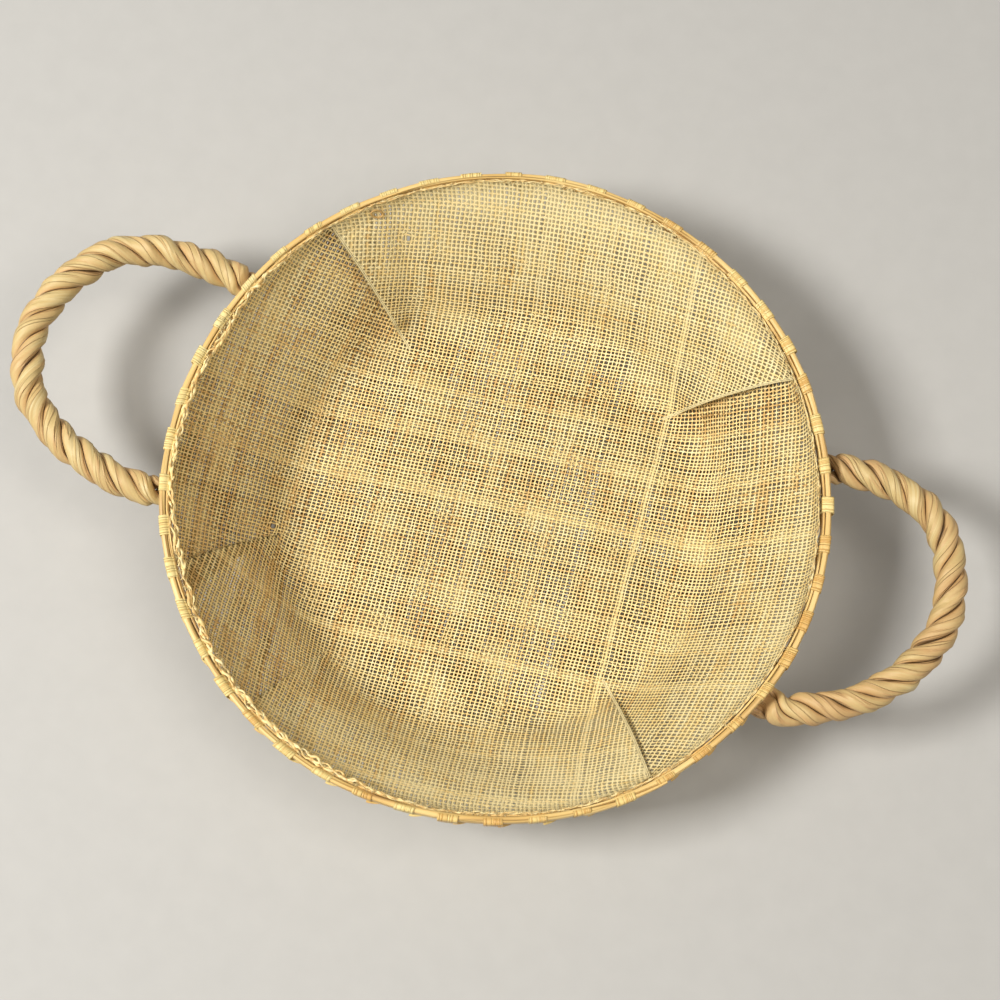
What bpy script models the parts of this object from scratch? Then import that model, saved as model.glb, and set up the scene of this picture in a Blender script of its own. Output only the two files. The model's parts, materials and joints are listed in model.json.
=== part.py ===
"""Shallow woven basket with a pleated cloth bowl, a lashed cane rim and two laid rope handles.

Metres, +Z up. The basket stands on its flat base, which is centred on the origin,
and +X points to the right handle.
"""
import math

import bmesh
import bpy
from mathutils import Matrix, Vector

CLEARANCE = 0.0003

# Cane rim: two split canes, flat faces together, round backs outwards
RIM_RADIUS = 0.1270
RIM_TOP = 0.0550
HOOP_HEIGHT = 0.0060
OUTER_HOOP_WIDTH = 0.0018
INNER_HOOP_WIDTH = 0.0012
HOOP_SEGMENTS = 72
# across the width from the flat face to the round back, and up the height
CANE_PROFILE_SHARES = ((0.0, 0.96), (0.0, 0.04), (0.5, 0.0), (1.0, 0.28), (1.0, 0.72), (0.5, 1.0))

# Lashing: a flat strip that wraps both hoops and the cloth, then runs on beneath them
WRAP_PITCH = 0.0166
WRAP_WIDTH = 0.0070
STRIP_THICKNESS = 0.0005
WRAP_CORNER = 0.0010
RUN_START = 0.0004
RUN_WIDTH_SHARE = 0.5

# Cloth bowl
CLOTH_THICKNESS = 0.0010
BASE_RADIUS = 0.0740
CREASE_RADIUS = 0.0200
CREASE_STEPS = 3
EDGE_DROP = 0.0010
COLLAR_LIP = 0.0008

# Darts: compass heading in degrees, and the side that the upper layer lies on
DARTS = ((42.0, 1), (140.0, -1), (207.0, 1), (318.0, -1))
DART_WIDTH = 0.0110
DART_STEP = 0.0010
DART_RISE = 0.0013
# how far from the fold, as a share of the dart's width, the cloth lies at which share of its rise
DART_FOLD_SHARES = ((0.0, 1.0), (0.5, 0.5), (1.0, 0.0))
# how much of the rise shows on each ring of the crease and of the wall
DART_ROW_SHARES = (0.0, 0.0, 0.25, 0.5, 0.8, 1.0)
# where the wall's rings lie between the crease and the rim
WALL_RING_SHARES = (0.5, 0.88)

# Openwork of the base: square openings along the threads, larger and fewer than those of the weave
WEAVE_HEADING = 6.5
OPENINGS_EACH_WAY = 5
# side of an opening, as a share of the pitch
OPENING_SHARE = 0.28
CUT_OVERRUN = 0.0010

# Rope handles
ROPE_RADIUS = 0.0061
ROPE_LAY = 0.0330
STRAND_COUNT = 3
STRAND_CLEARANCE = 0.0004
RINGS_PER_LAY = 9
STRAND_BEVEL_RESOLUTION = 2
TIP_RINGS = 3
ROUTE_STEPS = 24
HANDLE_STANDOFF = 0.0015
HANDLE_TILT = 8.0
TAIL_THICKNESS = 0.0006
TAIL_HEIGHT = 0.0080
TAIL_WIDTH = 0.0084
TONGUE_WIDTH = 0.0060
TONGUE_DROP = 0.0012
TAIL_CORNERS = 8
# the tail's neck, between the rope and the hoops: how far out, how low and how tall
NECK_OUT_SHARE = 0.33
NECK_DROP_SHARE = 0.33
NECK_HEIGHT_SHARE = 0.67
# the bend below the hoops, where the tail turns up
BEND_DROP_SHARE = 0.17
BEND_HEIGHT_SHARE = 0.4

# Each handle: heading and half the angle between its roots in degrees, reach beyond its roots,
# and its outline from the front root to the back one. The outline's first number is a share of
# half the root spacing, the second a share of the reach.
HANDLES = {
    "right": {
        "heading": 1.5,
        "half_angle": 20.9,
        "reach": 0.0488,
        "outline_shares": (
            (-1.0, 0.0), (-0.93, 0.18), (-0.79, 0.48), (-0.6, 0.7), (-0.37, 0.87), (-0.12, 0.975),
            (0.13, 1.0), (0.4, 0.95), (0.67, 0.84), (0.87, 0.615), (0.98, 0.335), (1.0, 0.0)),
    },
    "left": {
        "heading": 178.0,
        "half_angle": 19.6,
        "reach": 0.0630,
        "outline_shares": (
            (-1.0, 0.0), (-1.01, 0.2), (-0.965, 0.49), (-0.8, 0.74), (-0.52, 0.89), (-0.21, 0.975),
            (0.1, 1.0), (0.385, 0.94), (0.63, 0.83), (0.8, 0.67), (0.91, 0.48), (0.995, 0.22), (1.0, 0.0)),
    },
}

# Linear colours and roughness
MATERIALS = {
    "raffia_cloth": ((0.78, 0.62, 0.31), 0.75),
    "split_cane": ((0.70, 0.42, 0.16), 0.45),
    "cane_strip": ((0.76, 0.56, 0.22), 0.5),
    "rope_fibre": ((0.62, 0.46, 0.25), 0.6),
}

# Sizes that follow from those above
HOOP_GAP = TAIL_THICKNESS + 2 * CLEARANCE
HOOP_BOTTOM = RIM_TOP - HOOP_HEIGHT
GAP_RADIUS = RIM_RADIUS - OUTER_HOOP_WIDTH - HOOP_GAP / 2
INNER_HOOP_RADIUS = RIM_RADIUS - OUTER_HOOP_WIDTH - HOOP_GAP
COLLAR_RADIUS = INNER_HOOP_RADIUS - INNER_HOOP_WIDTH - CLEARANCE
LASHING_DEPTH = 2 * CLEARANCE + STRIP_THICKNESS
LASHED_RADIUS = RIM_RADIUS + CLEARANCE + STRIP_THICKNESS
AXIS_RADIUS = LASHED_RADIUS + CLEARANCE + ROPE_RADIUS + HANDLE_STANDOFF
AXIS_HEIGHT = HOOP_BOTTOM - LASHING_DEPTH - TAIL_HEIGHT / 2


def clear_scene():
    for old in list(bpy.data.objects):
        bpy.data.objects.remove(old, do_unlink=True)


def make_material(name):
    colour, roughness = MATERIALS[name]
    material = bpy.data.materials.new(name)
    material.use_nodes = True
    shader = material.node_tree.nodes["Principled BSDF"]
    shader.inputs["Base Color"].default_value = (*colour, 1.0)
    shader.inputs["Roughness"].default_value = roughness
    shader.inputs["Metallic"].default_value = 0.0
    return material


def link_object(name, data, material_name):
    thing = bpy.data.objects.new(name, data)
    bpy.context.scene.collection.objects.link(thing)
    data.materials.append(make_material(material_name))
    return thing


def object_from_bmesh(name, shape, material_name, sharp_degrees=40.0):
    mesh = bpy.data.meshes.new(name)
    shape.to_mesh(mesh)
    shape.free()
    mesh.shade_smooth()
    mesh.set_sharp_from_angle(angle=math.radians(sharp_degrees))
    return link_object(name, mesh, material_name)


def polar(radius, angle, height):
    return Vector((radius * math.cos(angle), radius * math.sin(angle), height))


def loft(sections):
    """One closed solid through rings of points, capped at both ends."""
    shape = bmesh.new()
    rings = [[shape.verts.new(point) for point in section] for section in sections]
    for ring, following in zip(rings, rings[1:]):
        for index in range(len(ring)):
            after = (index + 1) % len(ring)
            shape.faces.new((ring[index], ring[after], following[after], following[index]))
    shape.faces.new(list(reversed(rings[0])))
    shape.faces.new(rings[-1])
    bmesh.ops.recalc_face_normals(shape, faces=shape.faces)
    if shape.calc_volume(signed=True) < 0:
        bmesh.ops.reverse_faces(shape, faces=shape.faces)
    return shape


def root_angles():
    """Angles of the four handle roots, in turn round the rim."""
    angles = []
    for handle in HANDLES.values():
        for side in (-1, 1):
            angles.append(math.radians(handle["heading"] + side * handle["half_angle"]))
    return sorted(angles)


def wrap_runs():
    """Centre angles of the wraps, one list for each length of strip from root to root."""
    roots = root_angles()
    runs = []
    for start, end in zip(roots, roots[1:] + [roots[0] + math.tau]):
        count = max(2, round((end - start) * RIM_RADIUS / WRAP_PITCH))
        step = (end - start) / count
        runs.append([start + step * index for index in range(count)])
    return runs


def bowl_profile():
    """Outer face of the cloth from the base's edge to the top, as radius and height.

    The wall is the line that leaves the crease smoothly and ends under the hoops.
    """
    slot_low = HOOP_BOTTOM - LASHING_DEPTH
    top = RIM_TOP - EDGE_DROP
    wall_end = slot_low - COLLAR_LIP
    across = COLLAR_RADIUS - BASE_RADIUS
    up = wall_end - CREASE_RADIUS
    turn = math.atan2(up, across) - math.acos(CREASE_RADIUS / math.hypot(across, up)) + math.pi / 2
    points = []
    for step in range(CREASE_STEPS + 1):
        angle = turn * step / CREASE_STEPS
        points.append((BASE_RADIUS + CREASE_RADIUS * math.sin(angle), CREASE_RADIUS * (1 - math.cos(angle))))
    foot = Vector(points[-1])
    points += [tuple(foot.lerp(Vector((COLLAR_RADIUS, wall_end)), share)) for share in WALL_RING_SHARES]
    points.append((COLLAR_RADIUS, wall_end))
    points.append((COLLAR_RADIUS, slot_low))
    points.append((COLLAR_RADIUS, HOOP_BOTTOM))
    points.append((COLLAR_RADIUS, top))
    return points, turn


def turn_between(start, end):
    """The angle from start to end, at most half a turn either way."""
    return (end - start + math.pi) % math.tau - math.pi


def dart_lift(angle):
    """How far the darts lift the cloth inwards at this angle, as a share of their rise."""
    for heading, side in DARTS:
        distance = side * turn_between(math.radians(heading), angle) * COLLAR_RADIUS
        if -DART_STEP < distance < 0.0:
            return 1.0 + distance / DART_STEP
        if 0.0 <= distance < DART_WIDTH:
            return 1.0 - distance / DART_WIDTH
    return 0.0


def bowl_columns(slots):
    """Angle and lift of the cloth's columns: both edges of each slot, and the folds of each dart.

    A fold that lies beside an edge takes that edge's angle, so that no sliver is left between.
    """
    edges = [edge % math.tau for slot in slots for edge in slot]
    columns = {edge: dart_lift(edge) for edge in edges}
    for heading, side in DARTS:
        folds = [(-DART_STEP, 0.0)] + [(DART_WIDTH * share, lift) for share, lift in DART_FOLD_SHARES]
        for distance, lift in folds:
            angle = (math.radians(heading) + side * distance / COLLAR_RADIUS) % math.tau
            nearest = min(edges, key=lambda edge: abs(turn_between(edge, angle)))
            if abs(turn_between(nearest, angle)) * COLLAR_RADIUS < CLEARANCE:
                angle = nearest
            columns[angle] = lift
    return sorted(columns.items())


def make_openwork_cutter():
    """One bar for each opening of the base, none of them at its middle or across its edge."""
    pitch = BASE_RADIUS / OPENINGS_EACH_WAY
    places = [(index + 0.5) * pitch for index in range(-OPENINGS_EACH_WAY, OPENINGS_EACH_WAY)]
    side = OPENING_SHARE * pitch
    bar = Matrix.Diagonal((side, side, CLOTH_THICKNESS + 2 * CUT_OVERRUN, 1.0))
    weave = Matrix.Rotation(math.radians(WEAVE_HEADING), 4, "Z")
    shape = bmesh.new()
    for across in places:
        for along in places:
            if math.hypot(across, along) + pitch / 2 <= BASE_RADIUS:
                place = Matrix.Translation((across, along, CLOTH_THICKNESS / 2))
                bmesh.ops.create_cube(shape, size=1.0, matrix=weave @ place @ bar)
    cutter = object_from_bmesh("openwork_cutter", shape, "raffia_cloth")
    cutter.hide_render = True
    cutter.display_type = "WIRE"
    return cutter


def make_bowl_cloth():
    """The pleated bowl, with a slot under the hoops for each wrap and an openwork base."""
    profile, slope = bowl_profile()
    slot_row = len(profile) - 3
    half_slot = (WRAP_WIDTH / 2 + CLEARANCE) / COLLAR_RADIUS
    slots = [(centre - half_slot, centre + half_slot) for run in wrap_runs() for centre in run]
    columns = bowl_columns(slots)

    shape = bmesh.new()
    rings = []
    for row, (radius, height) in enumerate(profile):
        share = DART_ROW_SHARES[row] if row < len(DART_ROW_SHARES) else 0.0
        ring = []
        for angle, lift_share in columns:
            lift = DART_RISE * share * lift_share
            point = polar(radius - lift * math.sin(slope), angle, height + lift * math.cos(slope))
            ring.append(shape.verts.new(point))
        rings.append(ring)

    shape.faces.new(list(reversed(rings[0])))
    for index in range(len(columns)):
        after = (index + 1) % len(columns)
        start, end = columns[index][0], columns[after][0]
        centre = start + turn_between(start, end) / 2
        in_slot = any(abs(turn_between((low + high) / 2, centre)) < half_slot for low, high in slots)
        for row in range(len(profile) - 1):
            if row == slot_row and in_slot:
                continue
            lower, upper = rings[row], rings[row + 1]
            shape.faces.new((lower[index], lower[after], upper[after], upper[index]))
    cloth = object_from_bmesh("bowl_cloth", shape, "raffia_cloth")
    shell = cloth.modifiers.new("cloth thickness", "SOLIDIFY")
    shell.thickness = CLOTH_THICKNESS
    shell.offset = -1.0
    shell.use_even_offset = True
    openwork = cloth.modifiers.new("openwork", "BOOLEAN")
    openwork.operation = "DIFFERENCE"
    openwork.solver = "EXACT"
    openwork.object = make_openwork_cutter()
    return cloth


def make_hoop(name, flat_radius, width):
    """A split cane bent into a ring. A negative width puts its round back inwards."""
    shape = bmesh.new()
    ring = []
    for across_share, up_share in CANE_PROFILE_SHARES:
        point = (flat_radius + width * across_share, 0.0, HOOP_BOTTOM + HOOP_HEIGHT * up_share)
        ring.append(shape.verts.new(point))
    if width < 0:
        ring.reverse()
    edges = [shape.edges.new((ring[index - 1], ring[index])) for index in range(len(ring))]
    bmesh.ops.spin(shape, geom=ring + edges, cent=(0.0, 0.0, 0.0), axis=(0.0, 0.0, 1.0), angle=math.tau,
                   steps=HOOP_SEGMENTS, use_merge=True)
    bmesh.ops.recalc_face_normals(shape, faces=shape.faces)
    return object_from_bmesh(name, shape, "split_cane")


def wrap_contour(offset):
    """The strip's way round the rim, lying this far outside the gap that it keeps to it."""
    inside = COLLAR_RADIUS - CLOTH_THICKNESS - CLEARANCE - offset
    outside = RIM_RADIUS + CLEARANCE + offset
    below = HOOP_BOTTOM - CLEARANCE - offset
    above = RIM_TOP + CLEARANCE + offset
    corner = WRAP_CORNER + offset * math.tan(math.pi / 8)
    return [
        (INNER_HOOP_RADIUS - INNER_HOOP_WIDTH, below),
        (inside, below),
        (inside, above - corner),
        (inside + corner, above),
        (outside - corner, above),
        (outside, above - corner),
        (outside, below),
        (RIM_RADIUS - RUN_START, below),
    ]


def make_lashing_strip(number, centres):
    """One length of strip: round the rim at each wrap, then slantwise beneath it to the next."""
    near_side = wrap_contour(0.0)
    far_side = wrap_contour(STRIP_THICKNESS)
    width_shares = [RUN_WIDTH_SHARE] + [1.0] * (len(near_side) - 2) + [RUN_WIDTH_SHARE]
    sections = []
    for centre in centres:
        for near, far, width_share in zip(near_side, far_side, width_shares):
            half = width_share * WRAP_WIDTH / 2 / RIM_RADIUS
            sections.append([
                polar(near[0], centre - half, near[1]),
                polar(near[0], centre + half, near[1]),
                polar(far[0], centre + half, far[1]),
                polar(far[0], centre - half, far[1]),
            ])
    return object_from_bmesh(f"lashing_strip_{number}", loft(sections), "cane_strip", sharp_degrees=50.0)


def strand_distance(helix_radius):
    """Shortest distance between the centre lines of two strands that are laid side by side."""
    rise = ROPE_LAY / math.tau
    spacing = math.tau / STRAND_COUNT
    shortest = math.inf
    for step in range(ROUTE_STEPS * ROUTE_STEPS):
        slip = spacing * step / (ROUTE_STEPS * ROUTE_STEPS)
        chord = 2 * helix_radius * math.sin((spacing - slip) / 2)
        shortest = min(shortest, math.hypot(chord, rise * slip))
    return shortest


def strand_sizes():
    """Helix radius and strand radius that fill the rope and leave the strands their clearance."""
    low, high = 0.0, ROPE_RADIUS
    for _ in range(ROUTE_STEPS):
        helix_radius = (low + high) / 2
        strand_radius = ROPE_RADIUS - helix_radius
        if strand_distance(helix_radius) < 2 * strand_radius + STRAND_CLEARANCE:
            low = helix_radius
        else:
            high = helix_radius
    return high, ROPE_RADIUS - high


def smooth_route(points, steps):
    """Points along the smooth curve through the given ones."""
    padded = [2 * points[0] - points[1]] + points + [2 * points[-1] - points[-2]]
    route = []
    for before, start, end, after in zip(padded, padded[1:], padded[2:], padded[3:]):
        for step in range(steps):
            share = step / steps
            route.append(0.5 * (2 * start + (end - before) * share
                                + (2 * before - 5 * start + 4 * end - after) * share ** 2
                                + (3 * start - before - 3 * end + after) * share ** 3))
    route.append(points[-1])
    return route


def handle_route(handle):
    """The rope's centre line in the handle's own plane, from tip to tip.

    Local x points outwards from the line through the roots, and local y runs along it.
    """
    half_spacing = AXIS_RADIUS * math.sin(math.radians(handle["half_angle"]))
    points = [Vector((handle["reach"] * out, half_spacing * along, 0.0))
              for along, out in handle["outline_shares"]]
    first = Vector((-ROPE_RADIUS, points[0].y, 0.0))
    last = Vector((-ROPE_RADIUS, points[-1].y, 0.0))
    return smooth_route([first] + points + [last], ROUTE_STEPS)


def walk(route):
    """Distance along the route at each of its points."""
    distances = [0.0]
    for start, end in zip(route, route[1:]):
        distances.append(distances[-1] + (end - start).length)
    return distances


def place_on(route, distances, distance):
    """Point and direction at this distance along the route."""
    index = 0
    while index < len(distances) - 2 and distances[index + 1] < distance:
        index += 1
    share = (distance - distances[index]) / (distances[index + 1] - distances[index])
    start, end = route[index], route[index + 1]
    return start.lerp(end, share), (end - start).normalized()


def strand_stations(total):
    """Distances along the rope for a strand's rings, closer together at the rounded tips."""
    tips = [ROPE_RADIUS * (1 - math.cos(math.pi / 2 * step / TIP_RINGS)) for step in range(TIP_RINGS)]
    tips[0] = CLEARANCE / 2
    span = total - 2 * ROPE_RADIUS
    count = round(span / ROPE_LAY * RINGS_PER_LAY)
    middle = [ROPE_RADIUS + span * step / count for step in range(count + 1)]
    return tips + middle + [total - tip for tip in reversed(tips)]


def make_strand(name, handle, number, axis_empty):
    """One strand of the rope, laid right-handed round the handle's centre line."""
    helix_radius, strand_radius = strand_sizes()
    route = handle_route(handle)
    distances = walk(route)
    total = distances[-1]
    flat = Vector((0.0, 0.0, 1.0))
    points = []
    for distance in strand_stations(total):
        place, direction = place_on(route, distances, distance)
        side = direction.cross(flat)
        angle = math.tau * (distance / ROPE_LAY + number / STRAND_COUNT)
        beyond = max(0.0, ROPE_RADIUS - distance, distance - (total - ROPE_RADIUS))
        taper = math.sqrt(max(0.0, 1.0 - (beyond / ROPE_RADIUS) ** 2))
        swing = helix_radius * taper
        points.append((place + swing * (math.cos(angle) * flat + math.sin(angle) * side), taper ** 2))
    curve = bpy.data.curves.new(name, "CURVE")
    curve.dimensions = "3D"
    curve.bevel_depth = strand_radius
    curve.bevel_resolution = STRAND_BEVEL_RESOLUTION
    curve.use_fill_caps = True
    spline = curve.splines.new("POLY")
    spline.points.add(len(points) - 1)
    for spot, (point, taper) in zip(spline.points, points):
        spot.co = (*point, 1.0)
        spot.radius = taper
    strand = link_object(name, curve, "rope_fibre")
    strand.parent = axis_empty
    return strand


def make_handle_axis(side, handle):
    """An empty on the line through the handle's roots, with its x along the handle's plane."""
    heading = math.radians(handle["heading"])
    inset = AXIS_RADIUS * math.cos(math.radians(handle["half_angle"]))
    axis = bpy.data.objects.new(f"{side}_handle_axis", None)
    axis.location = polar(inset, heading, AXIS_HEIGHT)
    axis.rotation_euler = (0.0, -math.radians(HANDLE_TILT), heading)
    bpy.context.scene.collection.objects.link(axis)
    return axis


def rounded_section(centre, wide, tall):
    """A rounded outline about a centre, spanned by two half-size vectors."""
    points = []
    for corner in range(TAIL_CORNERS):
        angle = math.tau * (corner + 0.5) / TAIL_CORNERS
        points.append(centre + wide * math.cos(angle) + tall * math.sin(angle))
    return points


def make_tail(name, handle, side):
    """The strands' flattened end: a plug under the hoops and a tongue up between them.

    Local x points outwards from between the hoops, and z up from their undersides.
    """
    heading = math.radians(handle["heading"])
    turn = side * math.radians(handle["half_angle"])
    out = Vector((math.cos(turn), -math.sin(turn), 0.0))
    along = Vector((math.sin(turn), math.cos(turn), 0.0))
    root = Vector((AXIS_RADIUS - GAP_RADIUS, 0.0, AXIS_HEIGHT - HOOP_BOTTOM))
    face = root - out * (ROPE_RADIUS + CLEARANCE)
    tangent = Vector((0.0, 1.0, 0.0))
    upright = Vector((0.0, 0.0, TAIL_HEIGHT / 2))
    outwards = Vector((TAIL_HEIGHT / 2, 0.0, 0.0))
    thin = Vector((TAIL_THICKNESS / 2, 0.0, 0.0))
    tongue = tangent * TONGUE_WIDTH / 2
    neck = Vector((face.x * NECK_OUT_SHARE, 0.0, -LASHING_DEPTH - TAIL_HEIGHT * NECK_DROP_SHARE))
    bend = Vector((0.0, 0.0, -LASHING_DEPTH - TAIL_HEIGHT * BEND_DROP_SHARE))
    foot = Vector((0.0, 0.0, -LASHING_DEPTH))
    top = Vector((0.0, 0.0, HOOP_HEIGHT - TONGUE_DROP))
    sections = [
        rounded_section(face, along * TAIL_WIDTH / 2, upright),
        rounded_section(neck, (along + tangent).normalized() * TAIL_WIDTH / 2, upright * NECK_HEIGHT_SHARE),
        rounded_section(bend, tongue, (upright + outwards) / 2 * BEND_HEIGHT_SHARE),
        rounded_section(foot, tongue, thin),
        rounded_section(top, tongue, thin),
    ]
    tail = object_from_bmesh(name, loft(sections), "rope_fibre", sharp_degrees=60.0)
    tail.location = polar(GAP_RADIUS, heading + turn, HOOP_BOTTOM)
    tail.rotation_euler = (0.0, 0.0, heading + turn)
    return tail


def make_handle(side, handle):
    axis_empty = make_handle_axis(side, handle)
    for number in range(STRAND_COUNT):
        make_strand(f"{side}_handle_strand_{number + 1}", handle, number, axis_empty)
    make_tail(f"{side}_handle_tail_1", handle, -1)
    make_tail(f"{side}_handle_tail_2", handle, 1)


def main():
    clear_scene()
    make_bowl_cloth()
    make_hoop("outer_hoop", RIM_RADIUS - OUTER_HOOP_WIDTH, OUTER_HOOP_WIDTH)
    make_hoop("inner_hoop", INNER_HOOP_RADIUS, -INNER_HOOP_WIDTH)
    for index, centres in enumerate(wrap_runs()):
        make_lashing_strip(index + 1, centres)
    for side, handle in HANDLES.items():
        make_handle(side, handle)


main()
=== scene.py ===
"""Looks of the shallow woven basket: cloth bowl of real threads, lashed cane rim, two laid rope handles.

Metres, +Z up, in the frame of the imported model. Flat cloth is measured from the middle of the base.
"""

import json
import math

import bpy
import numpy as np
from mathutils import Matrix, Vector


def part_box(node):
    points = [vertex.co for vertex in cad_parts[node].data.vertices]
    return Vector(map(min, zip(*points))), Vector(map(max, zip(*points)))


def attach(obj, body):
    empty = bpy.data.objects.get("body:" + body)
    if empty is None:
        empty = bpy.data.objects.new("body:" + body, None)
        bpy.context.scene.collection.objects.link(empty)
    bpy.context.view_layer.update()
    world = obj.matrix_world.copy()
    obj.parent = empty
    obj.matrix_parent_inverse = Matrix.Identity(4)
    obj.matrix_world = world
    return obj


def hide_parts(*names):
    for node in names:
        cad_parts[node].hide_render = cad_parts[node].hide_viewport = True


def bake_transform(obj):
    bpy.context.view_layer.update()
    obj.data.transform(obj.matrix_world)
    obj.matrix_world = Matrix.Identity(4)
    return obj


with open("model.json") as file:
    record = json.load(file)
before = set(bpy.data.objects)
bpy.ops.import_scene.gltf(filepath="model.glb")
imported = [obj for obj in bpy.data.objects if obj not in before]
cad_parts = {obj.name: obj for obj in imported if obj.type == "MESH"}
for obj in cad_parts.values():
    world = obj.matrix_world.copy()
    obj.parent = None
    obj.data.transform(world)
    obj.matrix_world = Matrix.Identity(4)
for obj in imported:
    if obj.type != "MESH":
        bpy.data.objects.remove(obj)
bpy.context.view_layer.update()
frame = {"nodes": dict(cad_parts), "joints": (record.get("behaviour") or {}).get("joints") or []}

MM = 0.001

# Cloth below this height belongs to the flat base
BASE_HEIGHT = 0.1 * MM

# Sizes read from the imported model
hoop_low, hoop_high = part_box("outer_hoop")
_, cloth_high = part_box("bowl_cloth")
cloth_corners = np.array([v.co for v in frame["nodes"]["bowl_cloth"].data.vertices])
cloth_reach = np.hypot(cloth_corners[:, 0], cloth_corners[:, 1])
RIM_RADIUS = hoop_high.x
RIM_TOP = hoop_high.z
HOOP_BOTTOM = hoop_low.z
HOOP_HEIGHT = RIM_TOP - HOOP_BOTTOM
CLOTH_RADIUS = float(cloth_reach.max())
CLOTH_TOP = cloth_high.z
BASE_RADIUS = float(cloth_reach[cloth_corners[:, 2] < BASE_HEIGHT].max())

# Camera of the photograph, and how wide a strip of the rim's plane it shows
IMAGE_SIDE = 1000
RIM_CENTRE_PIXEL = (496.5, 487.0)
CAMERA_AZIMUTH = 18.5
CAMERA_ELEVATION = 77.5
CAMERA_DISTANCE = 0.75
FRAME_WIDTH = 0.3788
SENSOR_WIDTH = 36.0

# The hand-made rim strays outwards and upwards in waves: how many go round, their turn and their size
OUTWARD_STRAYS = ((2, -0.5, 0.60 * MM), (3, 1.1, 0.45 * MM), (7, 0.4, 0.25 * MM))
UPWARD_STRAYS = ((2, 1.9, 0.4 * MM), (5, 0.0, 0.3 * MM))

# From here on, a pair of a size and a length, such as SWELLS, says how far something strays or varies
# and over what length.

# Bowl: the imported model's profile, rounded where cloth can't crease sharply
CLEARANCE = 0.3 * MM
CLOTH_THICKNESS = 1.0 * MM
CREASE_RADIUS = 0.166 * CLOTH_RADIUS
CREASE_STEPS = 12
WALL_DROP = 1.9 * MM
COLLAR_LEAN = 1.6 * MM
SOFTENING = 2.5 * MM
PROFILE_STEP = 0.25 * MM

# Darts: heading of the visible fold in degrees at the base's edge and at the rim, the side that the
# upper layer lies on, the share of the spare cloth, and how far the fold stands off
DARTS = (
    (49.6, 38.7, 1, 0.25, 1.4 * MM),
    (135.8, 140.5, -1, 0.25, 1.8 * MM),
    (201.6, 211.9, 1, 0.20, 0.3 * MM),
    (237.0, 240.0, 1, 0.06, 0.3 * MM),
    (322.0, 316.1, -1, 0.24, 0.5 * MM),
)
LAYER_STEP = 0.65 * MM
SOFT_LAYER_SHARE = 0.45
RIM_PRESS_SHARES = (0.82, 0.6)
FOLD_TURN = 0.8 * MM
APEX_RUN = 5.0 * MM
LAY_DOWN = 10.0 * MM
FLARE_WIDTH = 6.0 * MM
FLARE_SCALE = 2.6
DIP = 2.2 * MM
DIP_WIDTH = 14.0 * MM
DIP_FLARE = 1.4 * MM
# painted highlight along each fold's crest, and painted shadow on the cloth beside it
CREST_HIGHLIGHT_WIDTH = 0.7 * MM
CREST_HIGHLIGHT_TONE = 0.42
FOLD_SHADOW_WIDTH = 12.0 * MM
FOLD_SHADOW_TONE = 0.24
SHARP_FLARE = 0.8 * MM
# painted light makes the walls paler, most so where the rim is narrow, painted shade makes them browner
# towards one heading, on the side away from the key light, and the painted shade in the gaps is weaker on
# them
WALL_LIGHT_TONES = (0.10, 0.32)
SHADED_SIDE_HEADING = 202.0
SHADED_SIDE_TONE = 0.30
WALL_HOLLOW_SHADE_CUTS = (0.20, 0.42)
# tone and the strength of the painted shade in the gaps also vary in patches
PATCH_TONES = (0.05, 26.0 * MM)
PATCH_HOLLOW_SHADES = (0.10, 26.0 * MM)
# threads pressed together along a sharp fold's edge: their places on the upper layer and their width
EDGE_PLACES = (0.65 * MM, 1.25 * MM)
EDGE_THREAD = 0.5 * MM
EDGE_STEP = 0.8 * MM
EDGE_TINTS = (0.10, 9.0 * MM)
# the cloth's own slight swells
SWELLS = (0.7 * MM, 45.0 * MM)

# Weave: headings of its two sets of threads, spacing and width
WEFT_HEADING = 6.5
WARP_HEADING = 93.5
WARP_PITCH = 1.62 * MM
WEFT_PITCH = 1.34 * MM
WARP_COVER_SHARE = 0.96
WEFT_COVER_SHARE = 0.64
# on the walls the threads lie further apart, from the first to the second distance from the middle
WALL_SPREAD = 0.40
SPREAD_RANGE = (68.0 * MM, 112.0 * MM)
# close and open bands: strength, and length in threads
BAND_SHARES = ((0.028, 13.0), (0.050, 3.2))
SPACING_JITTER = 0.11
LEAST_SPACING_SHARE = 0.6
WIDTH_JITTER = 0.10
WIDE_THREAD_SHARE = 0.05
WIDE_SCALE = 1.25
ROOM_SHARE = 0.985
THREAD_RISE = 0.12 * MM
# threads wander sideways together, and each strays and widens a little on its own
WANDERS = (0.20 * MM, 16.0 * MM)
STRAYS = (0.04 * MM, 6.0 * MM)
STRAY_WIDTHS = (0.08, 6.0 * MM)
# the threads' middle tone, how far one differs from another, and how it varies along each
THREAD_TONE = 0.52
THREAD_TONE_SPREAD = 0.10
THREAD_TINTS = (0.09, 22.0 * MM)
# a thread ends this far inside or past the hem, and one with fewer crossings is left out
FRAY_RANGE = (-0.6 * MM, 1.0 * MM)
FEWEST_CROSSINGS = 4
# snags: places in the flat cloth where the threads are pushed apart, and how far
SNAGS = ((-67.5 * MM, 109.5 * MM), (-86.5 * MM, -33.5 * MM))
SNAG_RADIUS = 2.2 * MM
SNAG_PUSH = 1.3 * MM
# a small loop of loose thread that lies on the wall
LOOP_PLACE = (-80.5 * MM, 120.5 * MM)
LOOP_RADIUS = 2.0 * MM
LOOP_THICKNESS = 0.8 * MM
LOOP_KNOTS = (0.2, LOOP_RADIUS)
LOOP_STEPS = 32
LOOP_TONE = 0.1
# spacings, as shares of the pitch, at which the painted shade in the gaps between threads is nil and full
HOLLOW_SHADE_SPACINGS = (0.62, 0.96)
# where across a thread's half width the painted shade at its edge starts
WARP_EDGE = 0.335
WEFT_EDGE = 0.54
# that painted shade darkens between these shares of that edge, and of the way to the next crossing
HOLLOW_SHADE_EDGE_SHARES = (0.82, 1.22)
HOLLOW_SHADE_WAY_SHARES = (0.14, 0.23)

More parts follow.
